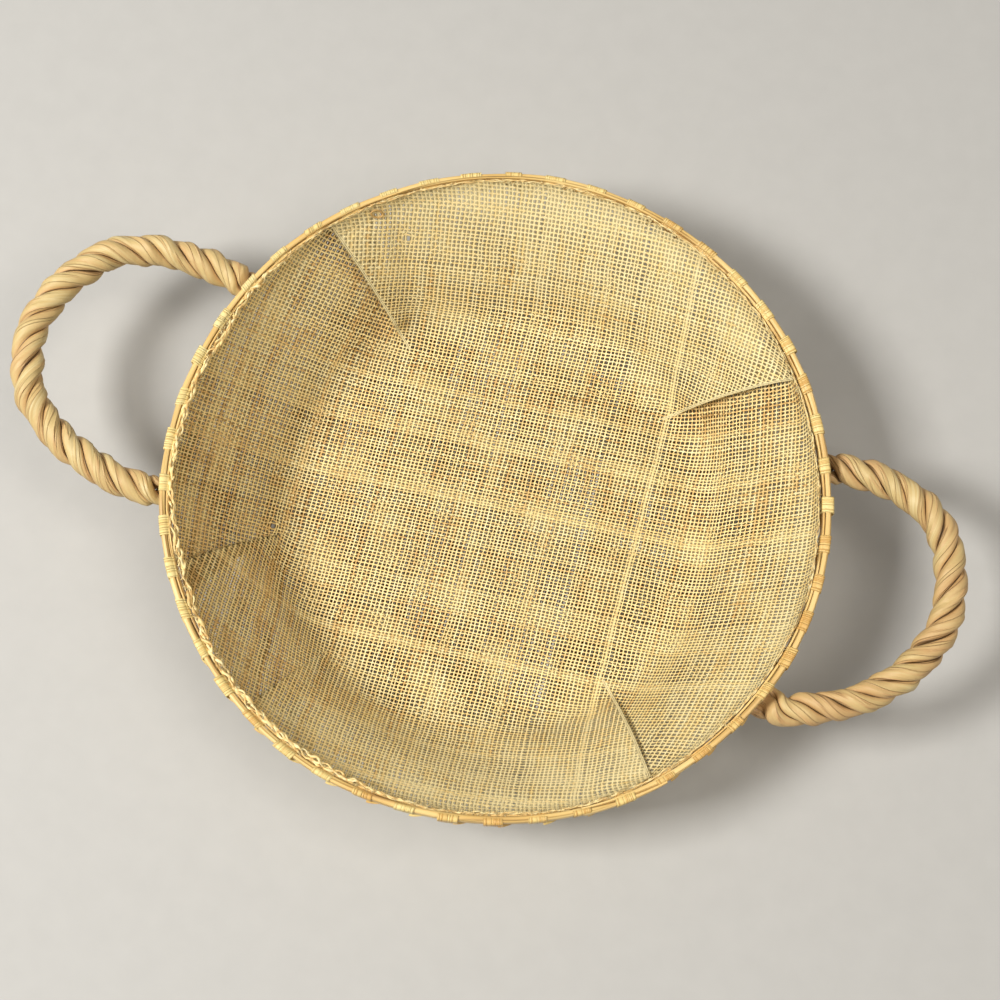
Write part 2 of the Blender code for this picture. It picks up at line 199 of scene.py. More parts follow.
# Hem: a frayed bead just inside the canes, stout over one stretch of headings and slight elsewhere.
# Where the rim is narrow the cloth's edge curls out over the inner cane.
HEM_STRANDS = 4
HEM_RADIUS = 0.40 * MM
HEM_STEP = 0.6 * MM
HEM_SIDES = 6
# each strand sways in and out and rises on its own, and all of them drift together
HEM_SWAYS = (0.90 * MM, 6.0 * MM)
HEM_RISES = (0.90 * MM, 4.0 * MM)
HEM_DRIFTS = (0.90 * MM, 26.0 * MM)
HEM_KNOTS = (0.55, 2.2 * MM)
HEM_TINTS = (0.30, 2.6 * MM)
HEM_TONES = (0.35, 0.6)
HEM_HEADING = 210.0
HEM_HALF_TURN = 56.0
HEM_SLIGHT_SHARE = 0.35
EDGE_CURL = 1.8 * MM
CURL_HEIGHT = 9.0 * MM
NARROW_HEADING = 108.5
FRAYED_ENDS = 2100
FRAYED_LENGTH = 1.6 * MM
FRAYED_LENGTH_SHARES = (0.4, 1.2)
FRAYED_WIDTH_SHARES = (0.3, 0.7)
FRAYED_LEANS = (0.8, 1.2)
FRAYED_TONES = (0.45, 0.9)
FRAYED_STEPS = 4

# Canes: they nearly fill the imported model's gap between its hoops
OUTER_CANE_WIDTH = 2.4 * MM
INNER_CANE_WIDTH = 1.0 * MM
INNER_CANE_DROP = 0.6 * MM
CANE_SEAM = 0.25 * MM
SEAM_RADIUS = RIM_RADIUS - OUTER_CANE_WIDTH - CANE_SEAM / 2
INNER_SIDE = SEAM_RADIUS - CANE_SEAM / 2 - INNER_CANE_WIDTH
CANE_STEPS = 540
CANE_SIDES = 18
CANE_TONE = 0.50
# the lower these powers, the squarer a cane's back and its top and bottom
CANE_POWERS = (0.55, 0.8)
CANE_HEIGHTS = (0.03, 30.0 * MM)
CANE_WIDTHS = (0.07, 24.0 * MM)
CANE_TINTS = (0.14, 30.0 * MM)
# heading where the outer cane's ends overlap, how far before it the inner cane's do, and over what turn
SCARF_HEADING = 303.0
SCARF_APART = 100.0
SCARF_TURN = 15.0
SCARF_THIN_SHARE = 0.35

# Lashing: each wrap is a few turns of narrow strip side by side
WRAP_PITCH = 16.6 * MM
WRAP_WIDTH = 7.6 * MM
STRIP_THICKNESS = 0.22 * MM
WRAP_CORNER = 0.8 * MM
NARROW_TUCK = 1.2 * MM
TURN_COUNTS = (1, 1, 2, 3, 4)
PALE_HEADING = 165.0
TAN_TONE = 0.36
TURN_SWELL = 0.07 * MM
# smallest and largest share of the usual width, for a wrap and for a turn, and tones as middle and spread
WRAP_WIDTH_SHARES = (0.85, 1.15)
TURN_WIDTH_SHARES = (0.97, 1.0)
WRAP_TONES = (0.58, 0.08)
TURN_TONES = (0.0, 0.06)
# the strip's rounded long edges: height of their shoulder and width of its top, as shares
SHOULDER_SHARE = 0.75
STRIP_TOP_SHARE = 0.92
# where the strip's long edges lie in its grain, as shares of its width
STRIP_SPREAD_SHARES = (0.0, 0.1, 0.2, 1.0, 1.1, 1.2, 2.0)
WRAP_SKEW = 0.5 * MM
TURN_LEAN = 0.12 * MM
BULGE = 0.55 * MM
BULGE_SHARE = 0.18
RUN_WIDTH = 2.6 * MM
RUN_STEPS = 12

# Rope handles: their roots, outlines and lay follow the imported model. An outline's points are shares of
# half the distance between the roots, and of how far the loop reaches out.
ROPE_RADIUS = 6.1 * MM
ROPE_LAY = 33.0 * MM
STRAND_COUNT = 3
HANDLE_TILT = 8.0
ROUTE_STEPS = 24
ROPE_STEP = 0.55 * MM
STRAND_SIDES = 40
# the grooves between strands: their depth, how steeply they cut in, and the gap left in them
GROOVE_SHARE = 0.31
GROOVE_POWER = 3.2
STRAND_GAP = 0.10 * MM
# a strand's flat sides reach inwards from the groove's bottom, as shares of its distance from the middle
STRAND_SIDE_SHARES = (0.92, 0.12)
# from its tip a strand is flat up to the first of these and round from the second. The tip is a thin
# tongue between the canes, and the strand bends outwards beneath the outer one.
TAIL_FLAT = 8.5 * MM
TAIL_ROUND = 15.0 * MM
TAIL_THICKNESS = 3.6 * MM
TONGUE_THICKNESS = 0.4 * MM
TAIL_BEND = 4.0 * MM
ROPE_SWELLS = (0.06, 15.0 * MM)
ROPE_TINTS = (0.07, 30.0 * MM)
# painted shade on the flattened tails beneath the rim
TAIL_SHADE_TONE = 0.10
# edges of the rolled leaf on a strand's back: their drift, step and softness, and their line's width and tone
LEAF_DRIFTS = (0.6, 55.0 * MM)
LEAF_STEP_SHARE = 0.035
LEAF_SOFT_SHARE = 0.16
LEAF_LINE_SHARE = 0.06
LEAF_LINE_TONE = 0.09
# tones across a strand's back: painted highlight on its crown, painted shade on its flanks, and painted shade
# in the seam at its edges
CROWN_HIGHLIGHT_TONE = 0.14
FLANK_SHADE_TONE = 0.13
SEAM_SHADE_TONE = 0.46
SEAM_POWER = 16
HANDLES = {
    "right": {
        "half_angle": 20.9,
        "reach": 48.8 * MM,
        "tone": 0.43,
        "spread": (13.5 * MM, 11.0 * MM),
        "outline_shares": (
            (-1.0, 0.0), (-0.93, 0.18), (-0.79, 0.48), (-0.6, 0.7), (-0.37, 0.87), (-0.12, 0.975),
            (0.13, 1.0), (0.4, 0.95), (0.67, 0.84), (0.87, 0.615), (0.98, 0.335), (1.0, 0.0)),
    },
    "left": {
        "half_angle": 19.6,
        "reach": 63.0 * MM,
        "tone": 0.50,
        "spread": (10.5 * MM, 10.5 * MM),
        "outline_shares": (
            (-1.0, 0.0), (-1.01, 0.2), (-0.965, 0.49), (-0.8, 0.74), (-0.52, 0.89), (-0.21, 0.975),
            (0.1, 1.0), (0.385, 0.94), (0.63, 0.83), (0.8, 0.67), (0.91, 0.48), (0.995, 0.22), (1.0, 0.0)),
    },
}

# Share of its cell in the bake's atlas that a patch fills, along and across
CELL_SHARES = (0.96, 0.9)

# Depths of the fine relief
RAFFIA_RELIEF = 0.22 * MM
CANE_RELIEF = 0.25 * MM
ROPE_RELIEF = 0.42 * MM
FLOOR_RELIEF = 0.02 * MM

# Lights: place to the right, up and towards the camera, size, power and colour
LIGHTS = {
    "key_light": ((-0.93, 0.17, 1.27), 0.45, 24.5, (1.0, 0.98, 0.93)),
    "fill_light": ((0.50, 0.15, 1.50), 0.9, 11.0, (1.0, 0.94, 0.84)),
}
FLOOR_HALF_SIDE = 8.0

# Colours as linear values
# painted shade for the gaps between threads, where the weave's openings lie
HOLLOW_SHADE_COLOUR = (0.028, 0.011, 0.001)
STRAW_DARK = (0.42, 0.26, 0.080)
STRAW_TAN = (0.78, 0.50, 0.185)
STRAW = (0.94, 0.73, 0.33)
STRAW_PALE = (0.96, 0.82, 0.46)
CANE_BROWN = (0.36, 0.18, 0.050)
CANE_TAN = (0.76, 0.50, 0.170)
CANE_YELLOW = (0.92, 0.69, 0.30)
STRIP_TAN = (0.70, 0.40, 0.11)
STRIP_YELLOW = (0.87, 0.67, 0.26)
STRIP_PALE = (0.94, 0.80, 0.40)
ROPE_SHADE = (0.14, 0.070, 0.018)
ROPE_PINK = (0.60, 0.37, 0.160)
ROPE_STRAW = (0.63, 0.47, 0.205)
ROPE_PALE = (0.88, 0.79, 0.50)
FLOOR_COLOUR = (0.50, 0.495, 0.485)
BACKDROP = (0.61, 0.59, 0.56)
FLOOR_FADE = (0.45, 1.3)
ROOM_LIGHT = (0.100, 0.098, 0.095)


# Smooth noise and small helpers

def ripple(points, wavelength, seed, waves=9):
    """Smooth noise of about -1 to 1 over points (n, d): a sum of waves in random directions."""
    random = np.random.default_rng(seed)
    total = np.zeros(len(points))
    for _ in range(waves):
        direction = random.normal(size=points.shape[1])
        direction /= np.linalg.norm(direction)
        pace = math.tau / (wavelength * random.uniform(0.7, 1.7))
        total += np.sin(points @ direction * pace + random.uniform(0.0, math.tau))
    return np.clip(total / math.sqrt(waves), -1.8, 1.8)


def varied(points, size_and_length, seed):
    """Smooth noise of this size over this length."""
    size, length = size_and_length
    return size * ripple(points, length, seed)


def smooth_step(values):
    inside = np.clip(values, 0.0, 1.0)
    return inside * inside * (3.0 - 2.0 * inside)


def between(start, end, share):
    return start + (end - start) * share


def turn_between(start, end):
    """The shorter turn from one heading to another, in radians."""
    return (end - start + math.pi) % math.tau - math.pi


def unit(vectors):
    return vectors / np.linalg.norm(vectors, axis=-1, keepdims=True)


def polar(radius, angle, height):
    return np.stack(np.broadcast_arrays(radius * np.cos(angle), radius * np.sin(angle), height), axis=-1)


def distances_along(line):
    return np.concatenate([[0.0], np.cumsum(np.linalg.norm(np.diff(line, axis=0), axis=1))])


def points_at(spots, distance, line):
    """Points on a line at these distances along it."""
    return np.stack([np.interp(spots, distance, values) for values in line.T], axis=1)


def settle(points):
    """The hand-made rim isn't a true circle: it strays a little, more the higher up."""
    angle = np.arctan2(points[..., 1], points[..., 0])
    height_share = np.clip(points[..., 2] / RIM_TOP, 0.0, 1.2)
    stray, rise = (sum(size * np.cos(count * angle + turn) for count, turn, size in waves)
                   for waves in (OUTWARD_STRAYS, UPWARD_STRAYS))
    moved = points.copy()
    outwards = stray * height_share ** 2
    moved[..., 0] += outwards * np.cos(angle)
    moved[..., 1] += outwards * np.sin(angle)
    moved[..., 2] += rise * height_share ** 3
    return moved


# Meshes from grids of points

def grid_part(points, along, around, tone, hollow=0.0, closed_along=False, closed_around=False):
    """One patch of a piece: points (rows, columns, 3) and the fibre coordinates of its rows and columns."""
    return {
        "points": points,
        "along": np.asarray(along, float),
        "around": np.asarray(around, float),
        "tone": np.broadcast_to(tone, points.shape[:2]),
        "hollow": np.broadcast_to(hollow, points.shape[:2]),
        "closed_along": closed_along,
        "closed_around": closed_around,
    }


def grid_quads(part, first, cell):
    """Corner indices of a patch's faces, and their fibre and atlas coordinates."""
    rows, columns = part["points"].shape[:2]
    row = np.arange(rows if part["closed_along"] else rows - 1)
    column = np.arange(columns if part["closed_around"] else columns - 1)
    row, column = (grid.ravel() for grid in np.meshgrid(row, column, indexing="ij"))
    corner_rows = np.stack([row, row + 1, row + 1, row], axis=1)
    corner_columns = np.stack([column, column, column + 1, column + 1], axis=1)
    quads = first + (corner_rows % rows) * columns + corner_columns % columns
    fibre = np.stack([part["along"][corner_rows], part["around"][corner_columns]], axis=-1)
    left, low, width, height = cell
    atlas = np.stack([left + width * corner_rows / max(1, rows),
                      low + height * corner_columns / columns], axis=-1)
    return quads, fibre, atlas


def placed(name, data):
    """A new object in the scene."""
    thing = bpy.data.objects.new(name, data)
    bpy.context.scene.collection.objects.link(thing)
    return thing


def mesh_of_quads(name, points, quads):
    mesh = bpy.data.meshes.new(name)
    mesh.vertices.add(len(points))
    mesh.vertices.foreach_set("co", points.astype(np.float32).ravel())
    mesh.loops.add(quads.size)
    mesh.loops.foreach_set("vertex_index", quads.astype(np.int32).ravel())
    mesh.polygons.add(len(quads))
    mesh.polygons.foreach_set("loop_start", np.arange(0, quads.size, 4, dtype=np.int32))
    return mesh


def piece_from_parts(name, parts, material, atlas_columns=1):
    """One mesh object from patches, each with a cell of its own in the bake's atlas."""
    atlas_rows = math.ceil(len(parts) / atlas_columns)
    points, quads, fibres, atlases = [], [], [], []
    first = 0
    for index, part in enumerate(parts):
        cell = (index % atlas_columns / atlas_columns, index // atlas_columns / atlas_rows,
                CELL_SHARES[0] / atlas_columns, CELL_SHARES[1] / atlas_rows)
        corner, fibre, atlas = grid_quads(part, first, cell)
        points.append(part["points"].reshape(-1, 3))
        quads.append(corner)
        fibres.append(fibre)
        atlases.append(atlas)
        first += len(points[-1])
    mesh = mesh_of_quads(name, np.concatenate(points), np.concatenate(quads))
    for label, values in (("OFBake", atlases), ("fibre", fibres)):
        layer = mesh.uv_layers.new(name=label)
        layer.data.foreach_set("uv", np.concatenate(values).astype(np.float32).ravel())
    # the tone also carries painted light and shade, and a second value says how strong the painted shade in
    # the gaps is
    for label in ("tone", "hollow"):
        values = np.concatenate([part[label].ravel() for part in parts])
        mesh.attributes.new(label, "FLOAT", "POINT").data.foreach_set("value", values.astype(np.float32))
    mesh.update(calc_edges=True)
    mesh.validate()
    mesh.shade_smooth()
    mesh.materials.append(material)
    return placed(name, mesh)


# Materials

class Shader:
    """A material's node tree, with short ways to add and join nodes."""

    def __init__(self, name):
        self.material = bpy.data.materials.new(name)
        self.material.use_nodes = True
        self.tree = self.material.node_tree
        self.surface = self.tree.nodes["Principled BSDF"]

    def add(self, kind, settings=None, **inputs):
        node = self.tree.nodes.new(kind)
        for key, value in (settings or {}).items():
            setattr(node, key, value)
        for key, value in inputs.items():
            self.put(node, key.replace("_", " "), value)
        return node

    def put(self, node, key, value):
        socket = node.inputs[int(key) if key.isdigit() else key]
        if isinstance(value, bpy.types.NodeSocket):
            self.tree.links.new(value, socket)
        else:
            socket.default_value = value

    def math(self, operation, first, second=0.0, third=0.0):
        node = self.tree.nodes.new("ShaderNodeMath")
        node.operation = operation
        for index, value in enumerate((first, second, third)):
            self.put(node, str(index), value)
        return node.outputs[0]

    def total(self, start, *terms):
        """start and each of the values times its scale."""
        for value, scale in terms:
            start = self.math("MULTIPLY_ADD", value, scale, start)
        return start

    def fibre(self):
        return self.add("ShaderNodeUVMap", {"uv_map": "fibre"}).outputs[0]

    def value_of(self, label):
        return self.add("ShaderNodeAttribute", {"attribute_name": label}).outputs["Fac"]

    def share(self, value, start, end):
        """0 up to start, 1 from end, smooth between."""
        node = self.add("ShaderNodeMapRange", {"interpolation_type": "SMOOTHSTEP"}, Value=value,
                        From_Min=start, From_Max=end)
        return node.outputs[0]

    def mixed(self, factor, first, second):
        node = self.add("ShaderNodeMix", {"data_type": "RGBA"})
        for index, value in ((0, factor), (6, first), (7, second)):
            self.put(node, str(index), value)
        return node.outputs[2]

    def stretched_noise(self, vector, scale, detail=3.0, roughness=0.55):
        """Noise over coordinates that are first scaled by (x, y, z)."""
        mapping = self.add("ShaderNodeMapping", Vector=vector, Scale=scale)
        noise = self.add("ShaderNodeTexNoise", Vector=mapping.outputs[0], Scale=1.0, Detail=detail,
                         Roughness=roughness)
        return noise.outputs[0]

    def thin_line(self, noise, sharpness):
        """0 along thin lines where the noise is halfway, 1 elsewhere."""
        away = self.math("ABSOLUTE", self.math("SUBTRACT", noise, 0.5))
        return self.math("MINIMUM", self.math("MULTIPLY", away, sharpness), 1.0)

    def ramp(self, factor, stops):
        node = self.tree.nodes.new("ShaderNodeValToRGB")
        elements = node.color_ramp.elements
        while len(elements) < len(stops):
            elements.new(0.5)
        for element, (place, colour) in zip(elements, stops):
            element.position = place
            element.color = (*colour, 1.0)
        self.put(node, "0", factor)
        return node.outputs[0]

    def bump(self, height, distance):
        return self.add("ShaderNodeBump", Height=height, Distance=distance, Strength=1.0).outputs[0]

    def finish(self, colour, roughness, normal, shine=0.5):
        self.put(self.surface, "Base Color", colour)
        self.put(self.surface, "Roughness", roughness)
        self.put(self.surface, "Normal", normal)
        self.put(self.surface, "Specular IOR Level", shine)
        return self.material


def position_of(shader):
    return shader.add("ShaderNodeTexCoord").outputs["Object"]


def raffia_material(name, step):
    """Split raffia leaf: straw with tan stretches, fine lines along it, a rounded back and painted shade in
    the gaps between threads.

    A step of the fibre's first coordinate is this long. In woven thread it is the way to the next crossing,
    and painted shade darkens the thread's edges halfway between two crossings, beside the opening there.
    """
    shader = Shader(name)
    fibre = shader.fibre()
    place = position_of(shader)
    streaks = shader.stretched_noise(fibre, (60.0 * step, 5.0, 1.0))
    blotches = shader.stretched_noise(place, (42.0, 42.0, 42.0), detail=4.0)
    level = shader.total(shader.value_of("tone"), (streaks, 0.34), (blotches, 0.28))
    stops = ((0.0, STRAW_DARK), (0.22, STRAW_TAN), (0.5, STRAW), (0.85, STRAW_PALE))
    colour = shader.ramp(shader.math("SUBTRACT", level, 0.31), stops)
    along, across, _ = shader.add("ShaderNodeSeparateXYZ", Vector=fibre).outputs
    centred = shader.math("MULTIPLY_ADD", across, 2.0, -1.0)
    # painted shade at the thread's edges halfway between crossings, which also takes away their shine
    edge_start, edge_end = (share * WARP_EDGE for share in HOLLOW_SHADE_EDGE_SHARES)
    edge = shader.share(shader.math("ABSOLUTE", centred), edge_start, edge_end)
    between = shader.share(shader.math("PINGPONG", along, 0.5), *HOLLOW_SHADE_WAY_SHARES)
    hollow = shader.math("MULTIPLY", shader.math("MULTIPLY", edge, between), shader.value_of("hollow"))
    colour = shader.mixed(hollow, colour, (*HOLLOW_SHADE_COLOUR, 1.0))
    crown = shader.math("SUBTRACT", 1.0, shader.math("MULTIPLY", centred, centred))
    lines = shader.stretched_noise(fibre, (400.0 * step, 14.0, 1.0), detail=2.0)
    normal = shader.bump(shader.total(crown, (lines, 0.30)), RAFFIA_RELIEF)
    roughness = shader.math("MULTIPLY_ADD", streaks, 0.25, 0.45)
    shine = shader.math("MULTIPLY_ADD", hollow, -0.45, 0.45)
    return shader.finish(colour, roughness, normal, shine)


def cane_material(name, dark, middle, light):
    """Split cane: long grain lines, darker stretches and a satin skin."""
    shader = Shader(name)
    fibre = shader.fibre()
    grain = shader.stretched_noise(fibre, (18.0, 1700.0, 1.0), detail=4.0, roughness=0.6)
    patches = shader.stretched_noise(fibre, (26.0, 90.0, 1.0), detail=3.0)
    split = shader.thin_line(shader.stretched_noise(fibre, (7.0, 520.0, 1.0), detail=1.0), 28.0)
    level = shader.total(shader.value_of("tone"), (grain, 0.42), (patches, 0.50), (split, 0.30))
    colour = shader.ramp(shader.math("SUBTRACT", level, 0.76), ((0.0, dark), (0.40, middle), (0.85, light)))
    normal = shader.bump(shader.total(split, (grain, 0.35)), CANE_RELIEF)
    roughness = shader.math("MULTIPLY_ADD", grain, 0.28, 0.30)
    return shader.finish(colour, roughness, normal)


def rope_material(name):
    """Rolled leaf strands: smooth, with fine lengthwise lines, pink-tan stretches, dark folds and the painted
    highlight and shade of the strands' tone.
    """
    shader = Shader(name)
    fibre = shader.fibre()
    lines = shader.stretched_noise(fibre, (22.0, 1500.0, 1.0), detail=4.0, roughness=0.6)
    leaves = shader.stretched_noise(fibre, (16.0, 230.0, 1.0), detail=2.0)
    tint = shader.stretched_noise(position_of(shader), (38.0, 38.0, 38.0), detail=2.0)
    edge = shader.thin_line(leaves, 45.0)
    level = shader.total(shader.value_of("tone"), (lines, 0.50), (leaves, 0.45), (tint, 0.38), (edge, 0.16))
    stops = ((0.0, ROPE_SHADE), (0.25, ROPE_PINK), (0.52, ROPE_STRAW), (0.85, ROPE_PALE))
    colour = shader.ramp(shader.math("SUBTRACT", level, 0.93), stops)
    wrinkles = shader.stretched_noise(fibre, (620.0, 210.0, 1.0), detail=3.0)
    height = shader.total(shader.math("MULTIPLY", edge, 0.7), (lines, 0.5), (wrinkles, 0.50))
    normal = shader.bump(height, ROPE_RELIEF)
    roughness = shader.math("MULTIPLY_ADD", lines, 0.25, 0.38)
    return shader.finish(colour, roughness, normal)


def seen_share(tree):
    """1 for rays from the camera, also after a mirror or glass, and 0 for the light on the object."""
    rays = tree.nodes.new("ShaderNodeLightPath").outputs
    seen = rays["Is Camera Ray"]
    for ray in ("Is Glossy Ray", "Is Transmission Ray"):
        either = tree.nodes.new("ShaderNodeMath")
        either.operation = "MAXIMUM"
        tree.links.new(seen, either.inputs[0])
        tree.links.new(rays[ray], either.inputs[1])
        seen = either.outputs[0]
    return seen


def floor_material():
    """Pale ground with a faint grain, which fades into the backdrop further off."""
    shader = Shader("pale_floor")
    grain = shader.stretched_noise(position_of(shader), (90.0, 90.0, 90.0), detail=2.0)
    light = tuple(channel * 1.03 for channel in FLOOR_COLOUR)
    colour = shader.ramp(grain, ((0.3, FLOOR_COLOUR), (0.7, light)))
    material = shader.finish(colour, 0.85, shader.bump(grain, FLOOR_RELIEF))
    length = shader.add("ShaderNodeVectorMath", {"operation": "LENGTH"}, Vector=position_of(shader))
    faded = shader.share(length.outputs[1], *FLOOR_FADE)
    backdrop = shader.add("ShaderNodeEmission", Color=(*BACKDROP, 1.0))
    mix = shader.add("ShaderNodeMixShader", Fac=shader.math("MULTIPLY", faded, seen_share(shader.tree)))
    shader.tree.links.new(shader.surface.outputs[0], mix.inputs[1])
    shader.tree.links.new(backdrop.outputs[0], mix.inputs[2])
    shader.tree.links.new(mix.outputs[0], shader.tree.nodes["Material Output"].inputs["Surface"])
    return material


# The bowl's profile

def bowl_profile():
    """Middle of the cloth from the base's centre to the hem: length, radius, height and normal."""
    wall_end = HOOP_BOTTOM - WALL_DROP
    across = CLOTH_RADIUS - COLLAR_LEAN - BASE_RADIUS
    up = wall_end - CREASE_RADIUS
    turn = math.atan2(up, across) - math.acos(CREASE_RADIUS / math.hypot(across, up)) + math.pi / 2
    corners = [(0.0, 0.0), (BASE_RADIUS, 0.0)]
    for share in np.linspace(0.0, 1.0, CREASE_STEPS + 1)[1:]:
        angle = turn * share
        corners.append((BASE_RADIUS + CREASE_RADIUS * math.sin(angle), CREASE_RADIUS * (1 - math.cos(angle))))
    corners += [(CLOTH_RADIUS - COLLAR_LEAN, wall_end), (CLOTH_RADIUS, CLOTH_TOP)]
    corners = np.array(corners)
    lengths = distances_along(corners)
    line = points_at(np.arange(0.0, lengths[-1], PROFILE_STEP), lengths, corners)
    reach = int(SOFTENING / PROFILE_STEP)
    window = np.hanning(2 * reach + 1)
    window /= window.sum()
    start = 2 * line[0] - line[reach:0:-1]
    end = 2 * line[-1] - line[-2:-reach - 2:-1]
    padded = np.concatenate([start, line, end])
    line = np.stack([np.convolve(padded[:, axis], window, mode="valid") for axis in (0, 1)], axis=1)
    line[:, 0] -= line[0, 0]
    direction = unit(np.gradient(line, axis=0))
    normal = np.stack([-direction[:, 1], direction[:, 0]], axis=1)
    line = line + normal * CLOTH_THICKNESS / 2
    return distances_along(line), line, normal


profile_length, profile_line, profile_normal = bowl_profile()
CUT_RADIUS = float(profile_length[-1])


def on_profile(lengths):
    """Radius, height and normal of the bowl at these lengths from the base's centre."""
    radius, height = points_at(lengths, profile_length, profile_line).T
    inwards, upwards = points_at(lengths, profile_length, profile_normal).T
    beyond = np.maximum(0.0, lengths - CUT_RADIUS)
    return radius, height + beyond, inwards, upwards


# The cloth folded into the bowl

def dart_places(lengths, radius):
    """Each dart's heading in the flat cloth and on the bowl, and its spare cloth, at these lengths.

    The bowl's rings are shorter than the flat cloth's, and the darts share out the difference.
    """
    climb = np.clip((lengths - BASE_RADIUS) / (CUT_RADIUS - BASE_RADIUS), 0.0, 1.0)[:, None]
    starts, ends, sides, spare_shares, _ = np.array(DARTS).T
    spare = spare_shares * math.tau * np.maximum(0.0, lengths - radius)[:, None]
    safe_radius = np.maximum(radius, MM)[:, None]
    folds = between(np.radians(starts), np.radians(ends), climb)
    headings = folds + sides * spare / 4 / safe_radius
    turns = np.roll(headings, -1, axis=1) - headings
    turns[:, -1] += math.tau
    shared = (spare + np.roll(spare, -1, axis=1)) / 2
    flat_turns = (turns * safe_radius + shared) / np.maximum(lengths, MM)[:, None]
    flat_turns *= math.tau / flat_turns.sum(axis=1, keepdims=True)
    flat = np.concatenate([np.zeros((len(lengths), 1)), np.cumsum(flat_turns, axis=1)[:, :-1]], axis=1)
    flat += (headings - flat).mean(axis=1, keepdims=True)
    return flat, headings, spare, climb[:, 0]


def narrow_share(angle):
    """1 at the two headings where the rim is narrowest, 0 halfway between them."""
    return np.cos(angle - math.radians(NARROW_HEADING)) ** 2


def sharpness(flare):
    """1 for a dart whose fold stands off sharply, less for a soft one."""
    return np.minimum(1.0, flare / SHARP_FLARE)


def fold_height(along, quarter, climb, flare):
    """How far a fold stands off the bowl, by the distance from its middle along the flat cloth.

    Each of its three layers is half as long as the spare cloth, so two of the quarters given here.
    """
    layers = sum(smooth_step(0.5 + (along + fold) / FOLD_TURN / 2) for fold in (quarter, -quarter))
    layers *= 1.0 - smooth_step((along - 3 * quarter) / LAY_DOWN)
    press_start, pressed = RIM_PRESS_SHARES
    layers *= 1.0 - pressed * smooth_step((climb - press_start) / (1.0 - press_start))
    layers *= between(SOFT_LAYER_SHARE, 1.0, sharpness(flare))
    stand_off = flare * np.exp(-((along - quarter) / FLARE_WIDTH) ** 2)
    stand_off *= FLARE_SCALE * np.sqrt(climb) * (1 - climb)
    below = np.exp(-np.maximum(0.0, -3 * quarter - along) / DIP_WIDTH)
    below *= 1.0 - smooth_step(0.5 + along / np.maximum(2 * quarter, MM))
    dip = DIP * np.minimum(1.0, flare / DIP_FLARE) * below * 4 * climb * (1 - climb)
    return LAYER_STEP * layers + stand_off - dip


def cloth_look(flat_points, along, quarter, climb, angle, sharp):
    """How much paler or browner the cloth is, with painted light and shade, and how strong the painted shade
    in its gaps is.
    """
    # painted highlight along a sharp fold's crest, and painted shadow on the lower layer beside it
    crest = np.exp(-((along - quarter - CREST_HIGHLIGHT_WIDTH) / CREST_HIGHLIGHT_WIDTH) ** 2)
    beside = np.where(along < -3 * quarter, np.exp((along + 3 * quarter) / FOLD_SHADOW_WIDTH), 0.0)
    shade = sharp * (CREST_HIGHLIGHT_TONE * crest - FOLD_SHADOW_TONE * beside)
    # painted light on the walls, and painted shade towards the side away from the key light
    shade += climb * (WALL_LIGHT_TONES[0] + WALL_LIGHT_TONES[1] * narrow_share(angle))
    shade -= climb * SHADED_SIDE_TONE * np.maximum(0.0, np.cos(angle - math.radians(SHADED_SIDE_HEADING)))
    shade += varied(flat_points, PATCH_TONES, 7)
    # on the walls the painted shade in the gaps is weaker
    closed = WALL_HOLLOW_SHADE_CUTS[0] + WALL_HOLLOW_SHADE_CUTS[1] * narrow_share(angle)
    hollow_shade_strength = 1.0 - closed * climb * (1.0 - sharp * beside)
    hollow_shade_strength *= 1.0 + varied(flat_points, PATCH_HOLLOW_SHADES, 8)
    return shade, hollow_shade_strength


def drape(flat_points, lift):
    """Flat cloth to the bowl, how much paler or browner it is there with painted light and shade, and how
    strong the painted shade in its gaps is.

    Each dart lays the spare cloth in a Z: upper layer, return, lower layer.
    """
    lengths = np.hypot(flat_points[:, 0], flat_points[:, 1])
    turn = np.arctan2(flat_points[:, 1], flat_points[:, 0])
    radius, height, inwards, upwards = on_profile(lengths)
    flat, headings, spare, climb = dart_places(lengths, radius)
    away = lengths[:, None] * turn_between(flat, turn[:, None])
    near = np.abs(away).argmin(axis=1)
    rows = np.arange(len(lengths))
    _, _, sides, _, flares = np.array(DARTS).T
    side, flare = sides[near], flares[near]
    heading, extra = headings[rows, near], spare[rows, near]
    along = side * away[rows, near]
    quarter = extra / 4
    lower = np.where(along < -quarter, along + extra / 2, -along)
    folded = np.where(along > quarter, along - extra / 2, lower)
    angle = heading + side * folded / np.maximum(radius, MM)
    open_share = smooth_step(extra / APEX_RUN)
    middle_share = np.sin(math.pi * np.clip(lengths / CUT_RADIUS, 0, 1)) ** 2
    swell = np.maximum(varied(flat_points, SWELLS, 5) * middle_share, -height / 2)
    lift = lift + open_share * fold_height(along, quarter, climb, flare) + swell
    curl = EDGE_CURL * narrow_share(angle) * smooth_step(1.0 + (height - CLOTH_TOP) / CURL_HEIGHT)
    draped = polar(radius + inwards * lift + curl, angle, height + upwards * lift)
    return draped, *cloth_look(flat_points, along, quarter, climb, angle, open_share * sharpness(flare))


# Threads

